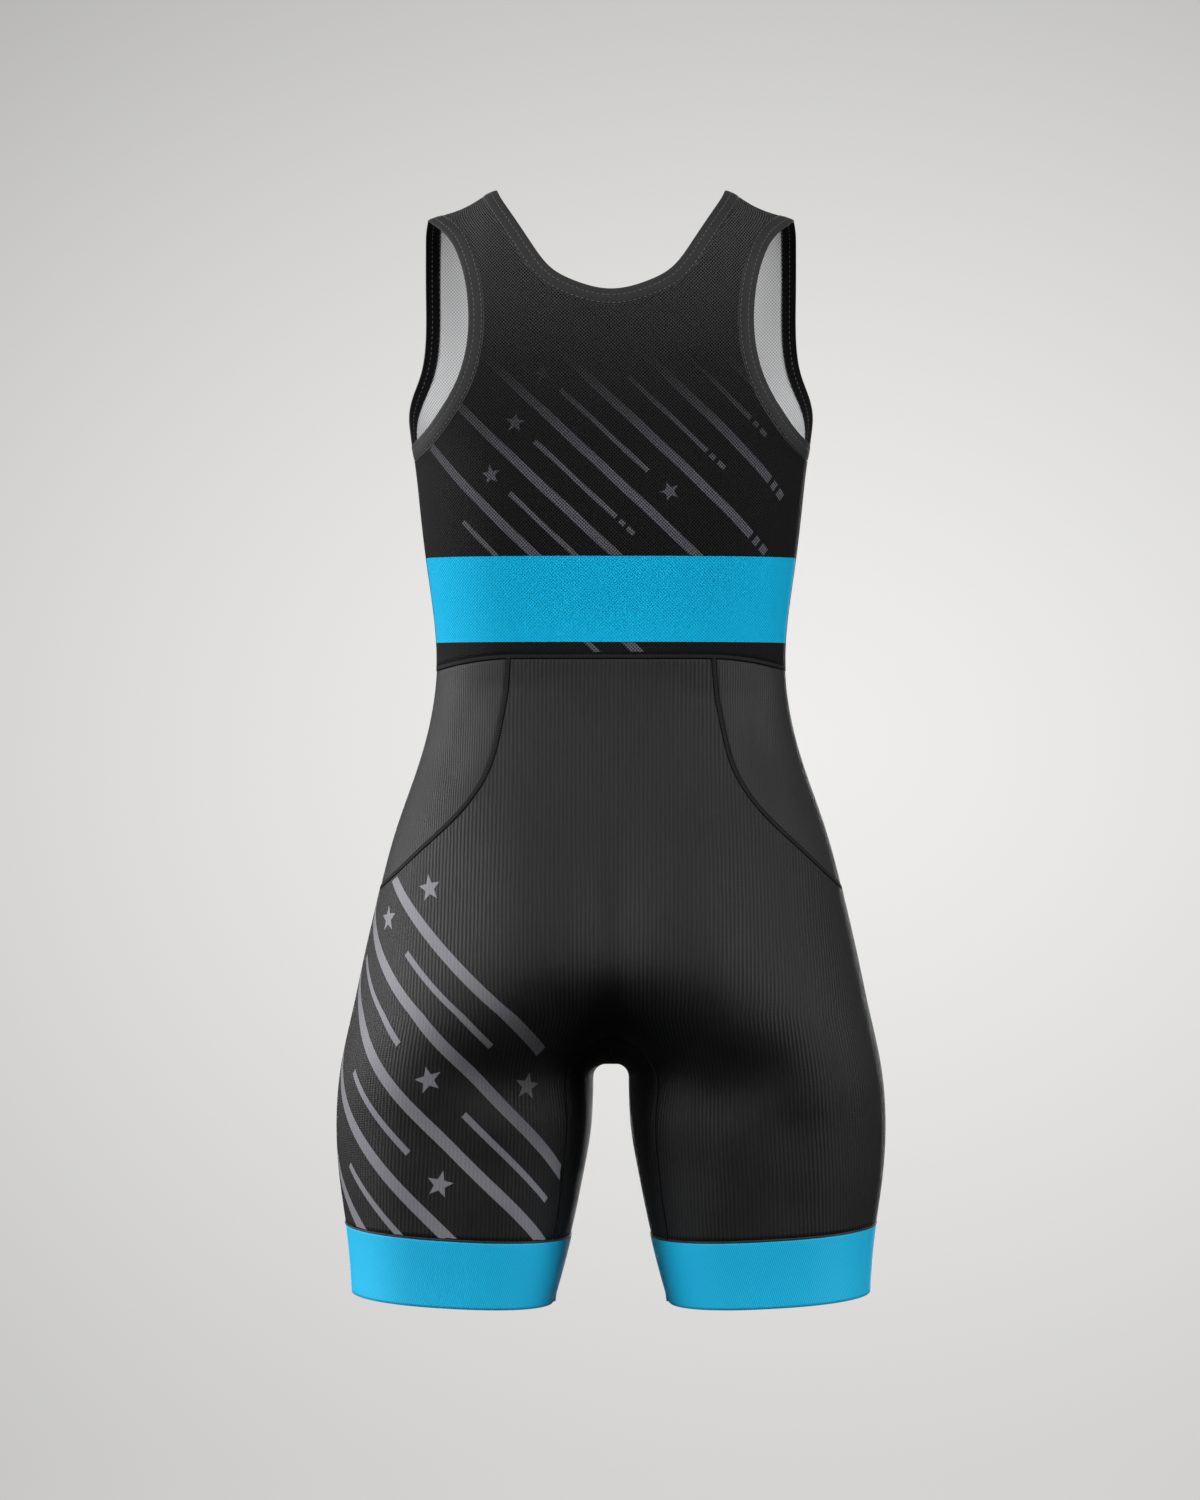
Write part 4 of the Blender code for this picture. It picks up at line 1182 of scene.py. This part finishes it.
def barStretches(origin, start, end, width, side, inside):
    # Points at origin + s * along + w * across in the cloth's coordinates. Each w keeps the
    # stretch of s that lies inside the panel, and that stretch is divided evenly.
    w = np.linspace(-0.5, 0.5, barPrint["across"] + 1) * width
    s = np.linspace(start, end, barPrint["samples"])

    def at(s):
        return onCloth(*(origin[k] + s * alongBar[k] + w * acrossBar[k] for k in (0, 1)), side)

    kept = inside(at(s[:, None]))
    spare, stretches = barPrint["spare"], []
    edges = np.flatnonzero(np.diff(np.concatenate([[0], kept[:, barPrint["across"] // 2].astype(int), [0]])))
    for first, last in edges.reshape(-1, 2):
        if last - first < barPrint["shortest"]:
            continue
        low, high = np.full(len(w), s[first]), np.full(len(w), s[last - 1])
        for j in range(len(w)):
            run = np.flatnonzero(kept[max(first - spare, 0):last + spare, j]) + max(first - spare, 0)
            if len(run):
                low[j], high[j] = s[run[0]], s[run[-1]]
        share = np.linspace(0, 1, max(barPrint["shortest"], int((s[last - 1] - s[first]) / barPrint["step"])))
        stretches.append(at(low + share[:, None] * (high - low)))
    return stretches


def starGrid(centre, size, turn, side):
    # Rings of a five-point star: the outline goes straight between ten corners that lie by turns
    # at the full radius and at the waist's radius.
    corner = np.arange(11)
    radius = np.where(corner % 2 == 0, 1.0, barPrint["starWaist"]) * size
    angle = np.radians(barPrint["starTop"] + turn) + corner * np.pi / 5
    along = np.linspace(0, 10, barPrint["starSteps"] + 1)
    x, y = (np.interp(along, corner, radius * curve(angle)) for curve in (np.cos, np.sin))
    ring = np.linspace(barPrint["starCore"], 1, barPrint["starRings"])[:, None]
    return onCloth(centre[0] + ring * x, centre[1] + ring * y, side)


def layPrint(layout, side, inside):
    grids = []
    for lane, start, end, dashed in layout["bars"]:
        origin = laneStart(lane, layout)
        width = layout["thin"] if lane % 2 else layout["wide"]
        parts = [(start, end)]
        if dashed:
            parts += [(end + gap, end + gap + length) for gap, length in barPrint["dashes"]]
        for first, last in parts:
            grids += barStretches(origin, first * mm, last * mm, width, side, inside)
    for lane, place, turn in layout["stars"]:
        star = starGrid(laneStart(lane, layout) + place * mm * alongBar, layout["starSize"], turn, side)
        if inside(star).all():
            grids.append(star)
    return grids


def printPiece(name, grids, look, slotName):
    return newPiece(name, *gathered(grids, barPrint["proud"]), (look,), slotName)


for (place, side), legPlace, legPanel in zip(sides, ("Seat", "LowerFront"), ("seatPanel", "lowerFrontPanel")):
    ink = layPrint(barPrint["upper"], side, insideUpper(side))
    printPiece("printOnUpper" + place, ink, "meshPrint", "mesh_knit")
    legInk = layPrint(barPrint["leg"], side, insideLeftLeg(side))
    printPiece("printOn" + legPlace, legInk, "legPrint", "compression_knit")
    print("printed shapes:", len(ink), "above the waist and", len(legInk), "on the leg")


studio = {
    "floor": -1.75, "flatTo": 8.0, "sweep": 4.0, "wall": 7.0,
    "hole": 0.01, "flatRings": 19, "sweepRings": 24, "turns": 96,
    "glow": (0.367, 0.0, -0.371), "glowRadii": (2.564, 90.0, 1.958),   # the painted pool of light on the paper behind the garment
    "glowColour": (1.0, 0.992, 0.978, 1.0),
    "glowLevel": 0.878, "glowFall": 0.339, "glowPower": 1.32, "glowEnd": 1.3,
    "camera": (-0.0082, -5.5, -0.407), "frameHeight": 1.1175, "sensor": 36.0,
}


def sweptFloor():
    # A bowl: level to a radius, then a quarter circle, then an upright wall, carried round the middle.
    flat, sweep, rings = studio["flatTo"], studio["sweep"], studio["flatRings"]
    angle = np.linspace(0, np.pi / 2, studio["sweepRings"])
    radius = np.concatenate([np.linspace(studio["hole"], flat, rings, endpoint=False),
                             flat + sweep * np.sin(angle), [flat + sweep]])
    rise = np.concatenate([np.zeros(rings), sweep * (1 - np.cos(angle)), [sweep + studio["wall"]]])
    turn = np.linspace(0, 2 * np.pi, studio["turns"] + 1)
    radius, height, turn = np.broadcast_arrays(radius[:, None], studio["floor"] + rise[:, None], turn)
    grid = np.stack([radius * np.cos(turn), radius * np.sin(turn), height], axis=-1)
    mesh = bpy.data.meshes.new("paperSweep")
    mesh.from_pydata(grid.reshape(-1, 3).tolist(), [], gridCells(grid).tolist())
    mesh.shade_smooth()
    floor = addObject("paperSweep", mesh)
    # Background paper that glows with a painted pool of light. Its own light is level - fall *
    # distance^power, with the distance in the glow's radii.
    tree, surface, material = newMaterial("glowingBackgroundPaper", 0.9, gloss=0.0)
    away = distanceFrom(tree, studio["glow"], studio["glowRadii"])
    near = computed(tree, "MINIMUM", away, studio["glowEnd"])
    fall = computed(tree, "POWER", near, studio["glowPower"])
    level = computed(tree, "MULTIPLY_ADD", fall, -studio["glowFall"], studio["glowLevel"])
    fill(tree, surface, {"Base Color": (0.0, 0.0, 0.0, 1.0), "Emission Color": studio["glowColour"],
                         "Emission Strength": level})
    mesh.materials.append(material)
    for kind in ("diffuse", "glossy", "transmission", "shadow"):
        setattr(floor, "visible_" + kind, False)


softboxes = {
    # place, width and height in metres, power in watts
    "leftSide": ((-4.2, -1.4, 0.4), (1.2, 2.2), 128), "leftFar": ((-3.9, 1.5, 0.6), (1.0, 2.4), 118),
    "leftBack": ((-2.2, -4.0, 0.8), (1.4, 1.6), 68), "rightSide": ((4.2, -1.4, 0.4), (1.2, 2.2), 135),
    "rightBack": ((2.2, -4.0, 0.8), (1.4, 1.6), 23), "topBehind": ((0, -3.0, 3.0), (2.4, 1.4), 69),
    "front": ((0.4, 6.0, -0.2), (3.0, 2.4), 150),   # for the wearer's front only
}
aimAt = np.array([0, 0, -0.4])
# the air's own light rises from low to level while a direction turns upwards
air = {"colour": "#f4f3f1", "from": -0.3, "to": 0.5, "low": 0.03, "level": 0.24}


def softbox(name, place, size, power):
    light = bpy.data.lights.new(name, "AREA")
    light.shape, light.size, light.size_y = "RECTANGLE", size[0], size[1]
    light.energy = power
    lamp = addObject(name, light)
    lamp.location = place
    direction = aimAt - place
    lamp.rotation_euler = (np.arctan2(np.hypot(direction[0], direction[1]), -direction[2]), 0,
                           np.arctan2(direction[1], direction[0]) - np.pi / 2)


sweptFloor()
for name, values in softboxes.items():
    softbox(name, *values)
world = bpy.data.worlds.new("studioAir")
world.use_nodes = True
sky = world.node_tree
direction = addNode(sky, "ShaderNodeTexCoord").outputs["Generated"]
upward = addNode(sky, "ShaderNodeSeparateXYZ", {0: direction}).outputs["Z"]
fill(sky, sky.nodes["Background"],
     {"Color": fromHex(air["colour"]),
      "Strength": eased(sky, upward, air["from"], air["to"], air["low"], air["level"])})
bpy.context.scene.world = world
bpy.context.scene.view_settings.view_transform = "Standard"
lens = bpy.data.cameras.new("camera")
lens.sensor_width = studio["sensor"]
lens.lens = studio["sensor"] * -studio["camera"][1] / studio["frameHeight"]
camera = addObject("camera", lens)
camera.location = studio["camera"]
camera.rotation_euler = (np.pi / 2, 0, 0)
bpy.context.scene.camera = camera
print("studio set")
